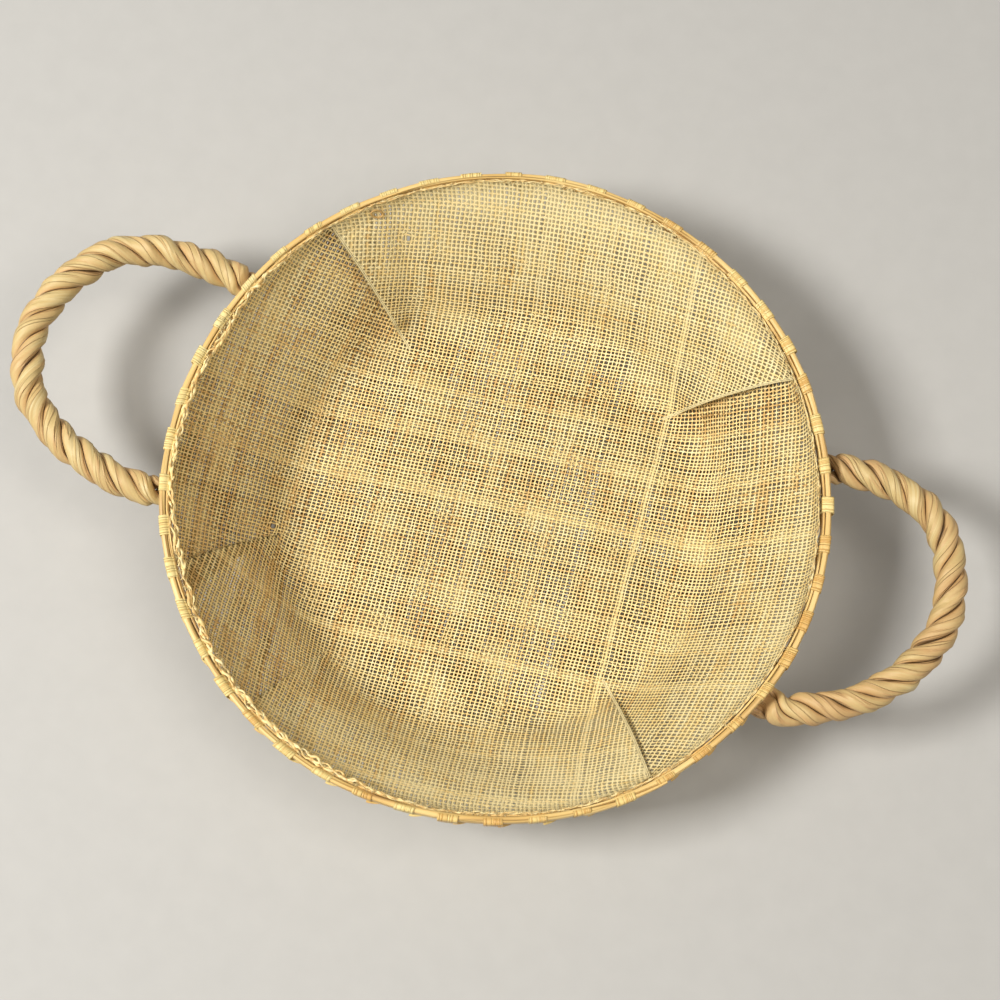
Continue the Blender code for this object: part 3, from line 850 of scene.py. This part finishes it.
def thread_rows(pitch, cover_share, seed):
    """Places across the cloth of one set of threads, their widths and how open each lies, in bands."""
    random = np.random.default_rng(seed)
    count = int(2 * CUT_RADIUS / pitch) + 8
    index = np.arange(count, dtype=float)[:, None]
    bands = sum(varied(index, band, seed + turn) for turn, band in enumerate(BAND_SHARES))
    start, end = SPREAD_RANGE
    plain = np.abs(index[:, 0] - count // 2) * pitch
    pitch = pitch * (1.0 + WALL_SPREAD * smooth_step((plain - start) / (end - start)))
    spacing_shares = 1.0 + bands + random.normal(0.0, SPACING_JITTER, count)
    spacing = pitch * np.maximum(LEAST_SPACING_SHARE, spacing_shares)
    places = np.cumsum(spacing)
    places -= places[count // 2]
    after = np.roll(spacing, -1)
    width_shares = cover_share * (1.0 + random.normal(0.0, WIDTH_JITTER, count))
    width_shares *= np.where(random.uniform(size=count) < WIDE_THREAD_SHARE, WIDE_SCALE, 1.0)
    widths = np.minimum(pitch * width_shares, ROOM_SHARE * np.minimum(spacing, after))
    # how open each thread lies sets how strong the painted shade in the gaps beside it is
    closed, fully_open = HOLLOW_SHADE_SPACINGS
    return places, widths, smooth_step(((spacing + after) / 2 / pitch - closed) / (fully_open - closed))


def part_threads(points):
    """Push the threads away from each snag, which leaves a small hole in the cloth."""
    for place in SNAGS:
        away = points - np.array(place)
        distance = np.hypot(away[:, 0], away[:, 1])[:, None]
        points = points + SNAG_PUSH * np.exp(-(distance / SNAG_RADIUS) ** 2) * away / distance
    return points


def flat_axes():
    weft, warp = math.radians(WEFT_HEADING), math.radians(WARP_HEADING)
    return np.array([math.cos(weft), math.sin(weft)]), np.array([math.cos(warp), math.sin(warp)])


def threads_of_set(rows, crossed, run_axis, row_axis, first_side, edge, seed):
    """One set of threads as flat ribbons. Each goes over and under the other set by turns.

    The shader's edge starts at WARP_EDGE, so the second fibre coordinate is scaled to put it at this edge.
    """
    stops, _, cross_open = crossed
    random = np.random.default_rng(seed)
    cross_index = np.arange(len(stops))
    flat, lifts, cuts, spans, tones, hollow_shades = [], [], [], [], [], []
    for index, (place, width, own_open) in enumerate(zip(*rows)):
        middle = np.outer(stops, run_axis) + place * row_axis
        kept = np.hypot(middle[:, 0], middle[:, 1]) < CUT_RADIUS + random.uniform(*FRAY_RANGE)
        if kept.sum() < FEWEST_CROSSINGS:
            continue
        run, over = stops[kept], first_side * (-1.0) ** (cross_index[kept] + index)
        middle = part_threads(middle[kept])
        drift = varied(middle, WANDERS, seed) + varied(run[:, None], STRAYS, seed + index)
        half = width / 2 * (1.0 + varied(run[:, None], STRAY_WIDTHS, seed + 500 + index))
        sides = [middle + np.outer(drift + sign * half, row_axis) for sign in (-1.0, 1.0)]
        flat.append(np.stack(sides, axis=1).reshape(-1, 2))
        lifts.append(np.repeat(over * THREAD_RISE, 2))
        tone = random.normal(THREAD_TONE, THREAD_TONE_SPREAD)
        tones.append(tone + varied(run[:, None], THREAD_TINTS, seed + 900 + index))
        # how strong the painted shade in the gaps is along this thread
        hollow_shades.append(own_open * cross_open[kept])
        cuts.append(len(run))
        spans.append(cross_index[kept])
    draped, shades, hollow_shade_strength = drape(np.concatenate(flat), np.concatenate(lifts))
    draped = settle(draped)
    sides = 0.5 + np.array([-0.5, 0.5]) * WARP_EDGE / edge
    parts, first = [], 0
    for count, span, tone, hollow in zip(cuts, spans, tones, hollow_shades):
        own = slice(first, first + 2 * count)
        tone = tone[:, None] + shades[own].reshape(count, 2)
        hollow = hollow[:, None] * hollow_shade_strength[own].reshape(count, 2)
        parts.append(grid_part(draped[own].reshape(count, 2, 3), span, sides, tone, hollow))
        first += 2 * count
    return parts


def fold_edges():
    """The threads pressed together along the edge of each sharp fold, from its point to the rim."""
    lengths = np.arange(BASE_RADIUS + APEX_RUN, CUT_RADIUS, EDGE_STEP)
    flat, _, spare, _ = dart_places(lengths, on_profile(lengths)[0])
    parts = []
    for index, (_, _, side, _, flare) in enumerate(DARTS):
        if flare < SHARP_FLARE / 2:
            continue
        for number, place in enumerate(EDGE_PLACES):
            aways = [spare[:, index] / 4 + place + edge * EDGE_THREAD for edge in (-0.5, 0.5)]
            turns = [flat[:, index] + side * away / lengths for away in aways]
            points = np.concatenate([polar(lengths, turn, 0.0)[:, :2] for turn in turns])
            folded = settle(drape(points, THREAD_RISE)[0])
            grid = folded.reshape(2, len(lengths), 3).transpose(1, 0, 2)
            # these pressed threads are painted much paler than the cloth, a painted highlight along the
            # fold's crest
            tone = 1.0 + varied(lengths[:, None], EDGE_TINTS, 611 + number)
            parts.append(grid_part(grid, lengths / WARP_PITCH, (0.0, 1.0), tone[:, None]))
    return parts


def make_cloth():
    """The woven cloth: every warp and weft thread, and the pressed edges of its folds."""
    weft_axis, warp_axis = flat_axes()
    warp_rows = thread_rows(WARP_PITCH, WARP_COVER_SHARE, 11)
    weft_rows = thread_rows(WEFT_PITCH, WEFT_COVER_SHARE, 29)
    warp = threads_of_set(warp_rows, weft_rows, warp_axis, weft_axis, 1.0, WARP_EDGE, 101)
    weft = threads_of_set(weft_rows, warp_rows, weft_axis, warp_axis, -1.0, WEFT_EDGE, 203)
    thread = raffia_material("raffia_thread", WARP_PITCH)
    return piece_from_parts("woven_cloth", warp + weft + fold_edges(), thread, atlas_columns=2)


# Tubes

def rings_along(line, wide_hints, outline):
    """Rings (n, sides, 3) round a line. The outline is each ring's offsets across and up."""
    direction = unit(np.gradient(line, axis=0))
    wide = wide_hints - (wide_hints * direction).sum(axis=1, keepdims=True) * direction
    wide = unit(wide)
    upright = np.cross(direction, wide)
    across, up = outline
    return line[:, None, :] + across[..., None] * wide[:, None, :] + up[..., None] * upright[:, None, :]


# Hem

def hem_share(angle):
    """How stout the frayed hem is at a heading."""
    away = np.abs(turn_between(math.radians(HEM_HEADING), angle))
    near = 1.0 - smooth_step(2.5 * away / math.radians(HEM_HALF_TURN) - 2.0)
    return between(HEM_SLIGHT_SHARE, 1.0, near)


def hem_radius(angle):
    return CLOTH_RADIUS - CLOTH_THICKNESS / 2 + EDGE_CURL * narrow_share(angle)


def closed_tube(line, hints, thick, tone):
    """A thread round a closed line, without a seam in the directions of its rings."""
    steps = np.arange(len(line) + 1) * HEM_STEP
    line, hints, thick = (np.concatenate([values[-1:], values, values[:1]])
                          for values in (line, hints, thick))
    spin = np.linspace(0.0, math.tau, HEM_SIDES, endpoint=False)
    rings = rings_along(line, hints, (thick * np.cos(spin), thick * np.sin(spin)))[1:-1]
    return grid_part(rings, steps, np.linspace(0.0, 1.0, HEM_SIDES + 1), tone,
                     closed_along=True, closed_around=True)


def hem_strand(number, angle, tone):
    """One wavering, knotty strand of the hem's bead."""
    circle = polar(CLOTH_RADIUS, angle, 0.0)
    share = hem_share(angle)
    inwards = varied(circle, HEM_SWAYS, 71 + number) + varied(circle, HEM_DRIFTS, 91)
    upwards = varied(circle, HEM_RISES, 81 + number)
    line = settle(polar(hem_radius(angle) + share * inwards, angle, CLOTH_TOP + share * upwards))
    thick = HEM_RADIUS * share * (1.0 + varied(circle, HEM_KNOTS, 95 + number))
    tones = tone + varied(circle, HEM_TINTS, 98 + number)
    return closed_tube(line, polar(1.0, angle, 0.0), thick[:, None], tones[:, None])


def loose_loop():
    """The loop of loose thread, round a spot of the flat cloth."""
    turn = np.arange(LOOP_STEPS) * math.tau / LOOP_STEPS
    circle = np.array(LOOP_PLACE) + LOOP_RADIUS * np.stack([np.cos(turn), np.sin(turn)], axis=1)
    line = settle(drape(circle, THREAD_RISE + LOOP_THICKNESS / 2)[0])
    thick = LOOP_THICKNESS / 2 * (1.0 + varied(circle, LOOP_KNOTS, 99))[:, None]
    return closed_tube(line, line - line.mean(axis=0), thick, LOOP_TONE)


def frayed_end(heading, random):
    """A short flat thread end that sticks out of the hem."""
    spots = np.linspace(0.0, 1.0, FRAYED_STEPS)
    length = FRAYED_LENGTH * random.uniform(*FRAYED_LENGTH_SHARES)
    lean, curl = (random.normal(0.0, spread) for spread in FRAYED_LEANS)
    lean = lean + curl * spots
    radius = hem_radius(heading) + length * spots * np.sin(lean)
    height = CLOTH_TOP - HEM_RADIUS + length * spots * np.cos(lean) / 2
    drift = heading + spots * random.normal(0.0, 1.0) * length / CLOTH_RADIUS
    line = polar(radius, drift, height)
    half = random.uniform(*FRAYED_WIDTH_SHARES) * HEM_RADIUS * (1.0 - spots / 2)
    sideways = polar(1.0, drift + math.pi / 2, 0.0) * half[:, None]
    grid = settle(np.stack([line - sideways, line + sideways], axis=1))
    return grid_part(grid, spots * length, (0.0, 1.0), random.uniform(*FRAYED_TONES))


def make_hem():
    """A bead of tangled cut threads along the cloth's edge, with short ends sticking out of it."""
    random = np.random.default_rng(61)
    count = int(math.tau * CLOTH_RADIUS / HEM_STEP)
    angle = np.arange(count) * math.tau / count
    strands = [hem_strand(number, angle, random.uniform(*HEM_TONES)) for number in range(HEM_STRANDS)]
    material = raffia_material("hem_thread", 1.0)
    hem = piece_from_parts("frayed_hem", [*strands, loose_loop()], material)
    headings = random.uniform(0.0, math.tau, 2 * FRAYED_ENDS)
    kept = headings[random.uniform(size=len(headings)) < hem_share(headings)][:FRAYED_ENDS]
    ends = [frayed_end(heading, random) for heading in kept]
    return hem, piece_from_parts("frayed_ends", ends, material, atlas_columns=12)


# Canes

def scarf_shape(turned):
    """Inner shift and width share of a cane whose two ends overlap, at angles past its start."""
    overlap = math.radians(SCARF_TURN)
    start_share = between(SCARF_THIN_SHARE, 1.0, np.clip(turned / overlap, 0.0, 1.0))
    over = np.clip((turned - math.tau) / overlap, 0.0, 1.0)
    past = turned > math.tau
    shift = np.where(past, between(SCARF_THIN_SHARE, 1.0, over), 0.0)
    width = np.where(past, between(1.0, SCARF_THIN_SHARE, over), start_share)
    return shift, width


def cane_outline(width, height):
    """Offsets out and up of a half-round cane: flat side inwards, at width 0."""
    spin = np.linspace(0.0, math.tau, CANE_SIDES, endpoint=False)
    out, up = (np.sign(wave) * np.abs(wave) ** power
               for wave, power in zip((np.cos(spin), np.sin(spin)), CANE_POWERS))
    out = np.where(out < 0.0, -1.0, out) / 2 + 0.5
    return width[:, None] * out, height[:, None] * up / 2


def make_cane(name, flat_radius, width, drops, heading, material, seed):
    """A split cane bent round the rim, its thinned ends overlapping. A negative width faces inwards.

    Its top lies below the rim's top by the first drop, and by the second where the rim is narrow.
    """
    turned = np.linspace(0.0, math.tau + math.radians(SCARF_TURN), CANE_STEPS)
    angle = math.radians(heading) + turned
    shift, width_share = scarf_shape(turned)
    around = polar(RIM_RADIUS, angle, 0.0)
    full = HOOP_HEIGHT - between(*drops, narrow_share(angle))
    height = full * (1.0 - CANE_HEIGHTS[0] + varied(around, CANE_HEIGHTS, seed))
    wide = np.abs(width) * width_share * (1.0 + varied(around, CANE_WIDTHS, seed + 1))
    out, up = cane_outline(wide, height)
    base = flat_radius + np.sign(width) * (np.abs(width) * shift)[:, None]
    radius = base + np.sign(width) * out
    middle = HOOP_BOTTOM + full / 2
    rings = settle(polar(radius, angle[:, None], middle[:, None] + up))
    if width > 0:
        rings = rings[:, ::-1]
    spread = np.linspace(0.0, 2 * HOOP_HEIGHT, CANE_SIDES + 1)
    tones = CANE_TONE + varied(around, CANE_TINTS, seed + 2)
    part = grid_part(rings, turned * RIM_RADIUS, spread, tones[:, None], closed_around=True)
    return piece_from_parts(name, [part], material)


def rim_outside(angle):
    """Radius of the outer cane's back, which is more where its ends overlap."""
    turned = (angle - math.radians(SCARF_HEADING)) % math.tau
    shift, width = scarf_shape(turned + math.tau)
    over = turned < math.radians(SCARF_TURN)
    return RIM_RADIUS + np.where(over, (shift + width - 1.0) * OUTER_CANE_WIDTH, 0.0)


# Lashing

def root_angles():
    angles = []
    for side, handle in HANDLES.items():
        heading = handle_heading(side)
        for sign in (-1, 1):
            angles.append((heading + sign * math.radians(handle["half_angle"])) % math.tau)
    return sorted(angles)


def wrap_angles():
    """Centre angles of the wraps, evenly spaced from each handle root to the next."""
    roots = root_angles()
    centres = []
    for start, end in zip(roots, roots[1:] + [roots[0] + math.tau]):
        count = max(2, round((end - start) * RIM_RADIUS / WRAP_PITCH))
        centres += [start + (end - start) * index / count for index in range(count)]
    return centres


def wrap_contour(outside, tuck, offset):
    """Closed way round both canes, as radius and height, corners rounded, the upper inner one tucked in."""
    left = INNER_SIDE - offset
    right = outside + offset
    low = HOOP_BOTTOM - CLEARANCE - offset
    high = RIM_TOP + offset
    bend = WRAP_CORNER + offset
    inner_high = high - INNER_CANE_DROP - tuck
    corners = [(right, low, -90), (right, high, 0), (left + tuck, inner_high, 90), (left, low, 180)]
    points = []
    for x, z, start in corners:
        if start == 90:
            points.append((max(SEAM_RADIUS, left + tuck + bend), high))
        centre_x = x + (-bend if x == right else bend)
        centre_z = z + (bend if z == low else -bend)
        for angle in np.radians(np.linspace(start, start + 90, 5)):
            points.append((centre_x + bend * math.cos(angle), centre_z + bend * math.sin(angle)))
    return np.array(points)


def make_turn(centre, width, skew, swell, tone):
    """One turn of the strip, closed round the rim, with rounded long edges."""
    outside = float(rim_outside(np.array([centre]))[0]) + swell
    tuck = NARROW_TUCK * narrow_share(centre)
    near, shoulder, far = (wrap_contour(outside, tuck, share * STRIP_THICKNESS)
                           for share in (0.0, SHOULDER_SHARE, 1.0))
    half = width / 2
    edge = STRIP_TOP_SHARE * half
    section = [(near, -half), (shoulder, -half), (far, -edge), (far, edge), (shoulder, half), (near, half)]
    lean = skew * (near[:, 0] - near[:, 0].mean()) / (near[:, 0].max() - near[:, 0].min())
    columns = [polar(path[:, 0], centre + (side + lean) / RIM_RADIUS, path[:, 1]) for path, side in section]
    rings = settle(np.stack(columns, axis=1))
    way_round = 2.2 * (HOOP_HEIGHT + outside - CLOTH_RADIUS)
    along = np.concatenate([distances_along(rings[:, 0]), [way_round]])
    return grid_part(rings, along, np.array(STRIP_SPREAD_SHARES) * width, tone,
                     closed_along=True, closed_around=True)


def make_run(start, end, tone):
    """The strip's way beneath the hoops, from one wrap to the next."""
    share = np.linspace(0.0, 1.0, RUN_STEPS)
    angle = between(start, end, share)
    radius = RIM_RADIUS - CLEARANCE + (INNER_SIDE - RIM_RADIUS) * smooth_step(share)
    low = HOOP_BOTTOM - CLEARANCE - STRIP_THICKNESS / 2
    line = settle(polar(radius, angle, low))
    half, thick = RUN_WIDTH / 2, STRIP_THICKNESS / 2
    across = np.tile([-half, half, half, -half], (RUN_STEPS, 1))
    up = np.tile([-thick, -thick, thick, thick], (RUN_STEPS, 1))
    rings = rings_along(line, polar(1.0, angle, 0.0), (across, up))
    spread = np.linspace(0.0, 2 * RUN_WIDTH, 5)
    return grid_part(rings, distances_along(line), spread, tone, closed_around=True)


def make_wrap(centre, random):
    """The turns of one wrap, side by side, some wraps bulging a little."""
    tan_share = math.sin((centre - math.radians(PALE_HEADING)) / 2) ** 2
    count = TURN_COUNTS[random.integers(len(TURN_COUNTS))]
    count = 1 if random.uniform() < tan_share else count
    width = WRAP_WIDTH * random.uniform(*WRAP_WIDTH_SHARES) / count
    tone = random.normal(*WRAP_TONES) - TAN_TONE * tan_share
    skew = random.normal() * WRAP_SKEW
    bulge = BULGE if random.uniform() < BULGE_SHARE else 0.0
    turns = []
    for turn in range(count):
        place = centre + (turn - (count - 1) / 2) * width / RIM_RADIUS
        lean = skew + random.normal() * TURN_LEAN
        swell = bulge + random.uniform(0.0, TURN_SWELL)
        turn_width = width * random.uniform(*TURN_WIDTH_SHARES)
        turns.append(make_turn(place, turn_width, lean, swell, tone + random.normal(*TURN_TONES)))
    return turns, tone


def make_lashing(material):
    random = np.random.default_rng(37)
    centres = wrap_angles()
    turns, runs = [], []
    for index, centre in enumerate(centres):
        wrap, tone = make_wrap(centre, random)
        turns += wrap
        after = centres[(index + 1) % len(centres)]
        after += math.tau if after < centre else 0.0
        edge = WRAP_WIDTH / 2 / RIM_RADIUS
        runs.append(make_run(centre + edge / 2, after - edge / 2, tone))
    wraps = piece_from_parts("rim_lashing", turns, material, atlas_columns=6)
    under = piece_from_parts("lashing_runs", runs, material, atlas_columns=4)
    return wraps, under


# Rope handles

def joint_of(side):
    return next(joint for joint in frame["joints"] if joint["name"] == f"{side}_handle_flex")


def handle_heading(side):
    place = joint_of(side)["pos_m"]
    return math.atan2(place[1], place[0])


def handle_axes(side):
    """Hinge point, outward direction, direction from the first root to the second, and the loop's normal."""
    origin = np.array(joint_of(side)["pos_m"])
    heading, tilt = handle_heading(side), math.radians(HANDLE_TILT)
    out = np.array([math.cos(heading) * math.cos(tilt), math.sin(heading) * math.cos(tilt), math.sin(tilt)])
    along = np.array([-math.sin(heading), math.cos(heading), 0.0])
    return origin, out, along, np.cross(out, along)


def smooth_route(points, steps):
    """Points along the smooth curve through the given ones."""
    padded = np.concatenate([2 * points[:1] - points[1:2], points, 2 * points[-1:] - points[-2:-1]])
    route = []
    for before, start, end, after in zip(padded, padded[1:], padded[2:], padded[3:]):
        for share in np.arange(steps) / steps:
            route.append(0.5 * (2 * start + (end - before) * share
                                + (2 * before - 5 * start + 4 * end - after) * share ** 2
                                + (3 * start - before - 3 * end + after) * share ** 3))
    return np.array(route + [points[-1]])


def spaced_line(line, step):
    distance = distances_along(line)
    spots = np.linspace(0.0, distance[-1], int(distance[-1] / step))
    return points_at(spots, distance, line)


def half_root_spacing(side):
    return math.hypot(*joint_of(side)["pos_m"][:2]) * math.tan(math.radians(HANDLES[side]["half_angle"]))


def root_tail(side, sign):
    """Points from between the canes, down and round outwards, ready for the root, and their heading."""
    origin, out, along, _ = handle_axes(side)
    root = (origin + sign * half_root_spacing(side) * along)[:2]
    way = unit(unit(out[:2]) + unit(root))
    reach = root @ way
    foot = root - way * (reach - math.sqrt(reach ** 2 - root @ root + SEAM_RADIUS ** 2))
    bend_top = origin[2] + TAIL_BEND
    places = [(0.0, HOOP_BOTTOM + HOOP_HEIGHT / 2), (0.0, bend_top)]
    for turn in (math.pi / 4, math.pi / 2):
        places.append((TAIL_BEND * (1.0 - math.cos(turn)), bend_top - TAIL_BEND * math.sin(turn)))
    points = [(*(foot + way * forward), height) for forward, height in places]
    return np.array(points), math.atan2(foot[1], foot[0])


def handle_line(side):
    """The rope's centre line from one tail to the other, and at each point the way across it."""
    handle = HANDLES[side]
    origin, out, along, normal = handle_axes(side)
    loop = [origin + out * handle["reach"] * reach + along * half_root_spacing(side) * place
            for place, reach in handle["outline_shares"]]
    first, first_heading = root_tail(side, -1)
    last, last_heading = root_tail(side, 1)
    line = spaced_line(smooth_route(np.concatenate([first, loop, last[::-1]]), ROUTE_STEPS), ROPE_STEP)
    distance = distances_along(line)
    across = np.cross(unit(np.gradient(line, axis=0)), normal)
    weights = tail_weights(distance)
    hints = across * (1.0 - weights.sum(axis=0))[:, None]
    for weight, heading, sign in zip(weights, (first_heading, last_heading), (-1.0, 1.0)):
        hints = hints + sign * weight[:, None] * polar(1.0, heading + math.pi / 2, 0.0)
    return line, distance, hints, weights


def tail_weights(distance):
    """How flattened the strands are near the first and near the last root, from 0 in the rope to 1."""
    run = TAIL_ROUND - TAIL_FLAT
    tips = (distance, distance[-1] - distance)
    return np.stack([1.0 - smooth_step((tip - TAIL_FLAT) / run) for tip in tips])


def petal():
    """A laid strand's outline about the rope's centre: its back, and two flat sides towards the others.

    Gives radius and angle, the place across the back from -1 to 1, and the painted highlight and shade across
    it, darkest in the groove.
    """
    back_points = STRAND_SIDES * 7 // 10
    side_points = (STRAND_SIDES - back_points) // 2
    half = math.pi / STRAND_COUNT
    spread = np.sin(np.linspace(-math.pi / 2, math.pi / 2, back_points))
    back = ROPE_RADIUS * (1.0 - GROOVE_SHARE * np.abs(spread) ** GROOVE_POWER)
    inner = np.linspace(*STRAND_SIDE_SHARES, side_points) * ROPE_RADIUS * (1.0 - GROOVE_SHARE)
    side_angle = half - np.minimum(STRAND_GAP / inner, half * 0.8)
    radius = np.concatenate([back, inner, inner[::-1]])
    angle = np.concatenate([spread * (half - STRAND_GAP / ROPE_RADIUS), side_angle, -side_angle[::-1]])
    place = np.concatenate([spread, np.ones(side_points), -np.ones(side_points)])
    # painted highlight on the crown, painted shade on the flanks, in the seams and on the hidden sides
    back_shade = CROWN_HIGHLIGHT_TONE - FLANK_SHADE_TONE * place ** 2 - SEAM_SHADE_TONE * np.abs(place) ** SEAM_POWER
    shade = np.where(np.arange(len(radius)) < back_points, back_shade, -SEAM_SHADE_TONE)
    return radius, angle, place, shade


def leaf_ridges(distance, place, seed):
    """Steps in a strand's back where the rolled leaf's edges run along it, and the dark line at each."""
    step = np.zeros((len(distance), len(place)))
    line = np.zeros_like(step)
    for turn, sign in enumerate((1.0, -1.0, 1.0)):
        away = place - varied(distance[:, None], LEAF_DRIFTS, seed + turn)[:, None]
        step += sign * LEAF_STEP_SHARE * smooth_step(0.5 + away / LEAF_SOFT_SHARE)
        line -= LEAF_LINE_TONE * np.exp(-(away / LEAF_LINE_SHARE) ** 2)
    inside = 1.0 - np.abs(place) ** 8
    return step * inside, line * inside


def make_rope(side, material):
    """Three strands laid right-handed round the handle's line, flattened and fanned under the rim."""
    handle = HANDLES[side]
    line, distance, hints, weights = handle_line(side)
    laid = np.clip(distance, TAIL_FLAT, distance[-1] - TAIL_FLAT)
    radius, angle, place, shade = petal()
    flatness = weights.sum(axis=0)[:, None]
    parts = []
    for strand in range(STRAND_COUNT):
        lay = math.tau * (laid / ROPE_LAY + strand / STRAND_COUNT)[:, None]
        swell = 1.0 + varied(distance[:, None], ROPE_SWELLS, 301 + strand)[:, None]
        step, leaf_line = leaf_ridges(distance, place, 311 + 10 * strand)
        reach = radius * swell * (1.0 + step)
        flat_across, flat_up = fanned_strand(strand, lay, distance, weights, handle["spread"], len(radius))
        across = reach * np.sin(lay + angle) * (1.0 - flatness) + flat_across * flatness
        up = reach * np.cos(lay + angle) * (1.0 - flatness) + flat_up * flatness
        rings = rings_along(line, hints, (across, -up))
        spread = np.linspace(0.0, 2.4 * ROPE_RADIUS, len(radius) + 1) + strand * ROPE_LAY
        tones = handle["tone"] + varied(distance[:, None], ROPE_TINTS, 341 + strand)[:, None]
        # painted highlight and shade across each strand, and painted shade on the flattened tails
        tones = tones + (shade + leaf_line) * (1.0 - flatness) - TAIL_SHADE_TONE * flatness
        parts.append(grid_part(settle(rings), distance, spread, tones, closed_around=True))
    join_rope(piece_from_parts(f"{side}_rope_handle", parts, material), side, settle(line))


def join_rope(rope, side, path):
    """The rope takes the place of its strands and tails."""
    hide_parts(*[f"{side}_handle_strand_{number + 1}" for number in range(STRAND_COUNT)],
                f"{side}_handle_tail_1", f"{side}_handle_tail_2")
    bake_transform(rope)


def fanned_strand(strand, lay, distance, weights, spreads, sides):
    """Flat outline of a strand beside its neighbours, in the order in which they leave the rope."""
    across = np.zeros((len(distance), sides))
    up = np.zeros((len(distance), sides))
    spin = np.linspace(0.0, math.tau, sides, endpoint=False) - math.pi * 0.6
    for end, weight in enumerate(weights):
        at = 0 if end == 0 else -1
        phases = [lay[at, 0] + math.tau * (other - strand) / STRAND_COUNT for other in range(STRAND_COUNT)]
        order = sorted(range(STRAND_COUNT), key=lambda other: math.sin(phases[other]))
        place = (order.index(strand) - 1) * spreads[end] / STRAND_COUNT
        tip = distance if end == 0 else distance[-1] - distance
        swollen = smooth_step((tip - HOOP_HEIGHT / 2) / (TAIL_FLAT - HOOP_HEIGHT / 2))
        thin = between(TONGUE_THICKNESS, TAIL_THICKNESS, swollen)
        half_wide = spreads[end] / STRAND_COUNT / 2
        share = (weight / np.maximum(weights.sum(axis=0), 1e-6))[:, None]
        across += share * (place + half_wide * np.sin(lay[at, 0] + spin))
        up += share * (thin[:, None] / 2 * np.cos(lay[at, 0] + spin))
    return across, up


# Camera, light and floor

def image_axes():
    azimuth, elevation = math.radians(CAMERA_AZIMUTH), math.radians(CAMERA_ELEVATION)
    back = Vector((math.sin(azimuth) * math.cos(elevation), -math.cos(azimuth) * math.cos(elevation),
                   math.sin(elevation)))
    right = Vector((math.cos(azimuth), math.sin(azimuth), 0.0))
    return back, right, back.cross(right)


def aimed(name, data, place, back):
    """A camera or a light at this place, with its back towards this direction."""
    thing = placed(name, data)
    thing.location = place
    thing.rotation_mode = "QUATERNION"
    thing.rotation_quaternion = (-back).to_track_quat("-Z", "Y")
    return thing


def make_camera():
    back, right, up = image_axes()
    pixel = FRAME_WIDTH / IMAGE_SIDE
    off_right = (RIM_CENTRE_PIXEL[0] - IMAGE_SIDE / 2) * pixel
    off_down = (RIM_CENTRE_PIXEL[1] - IMAGE_SIDE / 2) * pixel
    target = Vector((0.0, 0.0, RIM_TOP)) - right * off_right + up * off_down
    data = bpy.data.cameras.new("photo_camera")
    data.sensor_width = SENSOR_WIDTH
    data.lens = SENSOR_WIDTH * CAMERA_DISTANCE / FRAME_WIDTH
    bpy.context.scene.camera = aimed("photo_camera", data, target + back * CAMERA_DISTANCE, back)


def area_light(name, image_place, size, power, colour):
    """A soft square light that looks at the basket. Its place is right, up and towards the camera."""
    back, right, up = image_axes()
    place = right * image_place[0] + up * image_place[1] + back * image_place[2]
    data = bpy.data.lights.new(name, "AREA")
    data.size = size
    data.energy = power
    data.color = colour
    aimed(name, data, place, place)


def make_world():
    world = bpy.data.worlds.new("soft_studio")
    bpy.context.scene.world = world
    world.use_nodes = True
    tree = world.node_tree
    mix = tree.nodes.new("ShaderNodeMix")
    mix.data_type = "RGBA"
    tree.links.new(seen_share(tree), mix.inputs[0])
    mix.inputs[6].default_value = (*ROOM_LIGHT, 1.0)
    mix.inputs[7].default_value = (*BACKDROP, 1.0)
    tree.links.new(mix.outputs[2], tree.nodes["Background"].inputs["Color"])


def make_floor():
    side = FLOOR_HALF_SIDE
    corners = [(-side, -side, 0.0), (side, -side, 0.0), (side, side, 0.0), (-side, side, 0.0)]
    mesh = bpy.data.meshes.new("floor")
    mesh.from_pydata(corners, [], [(0, 1, 2, 3)])
    mesh.materials.append(floor_material())
    placed("floor", mesh)


def make_stage():
    bpy.context.scene.view_settings.view_transform = "Standard"
    make_camera()
    make_world()
    make_floor()
    for name, light in LIGHTS.items():
        area_light(name, *light)


# Putting it together

def ride_on_basket(piece, slot, *nodes):
    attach(piece, "basket")
    if nodes:
        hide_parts(*nodes)


def make_basket():
    rope = rope_material("rolled_leaf")
    for side in HANDLES:
        make_rope(side, rope)
    cloth = make_cloth()
    hem, frayed = make_hem()
    ride_on_basket(cloth, "raffia_cloth", "bowl_cloth")
    for piece in (hem, frayed):
        ride_on_basket(piece, "raffia_cloth")
    skin = cane_material("cane_skin", CANE_BROWN, CANE_TAN, CANE_YELLOW)
    outer = make_cane("outer_cane", RIM_RADIUS - OUTER_CANE_WIDTH, OUTER_CANE_WIDTH, (0.0, 0.0),
                      SCARF_HEADING, skin, 401)
    inner = make_cane("inner_cane", INNER_SIDE + INNER_CANE_WIDTH, -INNER_CANE_WIDTH,
                      (INNER_CANE_DROP, INNER_CANE_DROP + NARROW_TUCK), SCARF_HEADING - SCARF_APART,
                      skin, 431)
    ride_on_basket(outer, "split_cane", "outer_hoop")
    ride_on_basket(inner, "split_cane", "inner_hoop")
    wraps, under = make_lashing(cane_material("lashing_strip", STRIP_TAN, STRIP_YELLOW, STRIP_PALE))
    ride_on_basket(wraps, "cane_strip", *[f"lashing_strip_{number + 1}" for number in range(4)])
    ride_on_basket(under, "cane_strip")


make_stage()
make_basket()
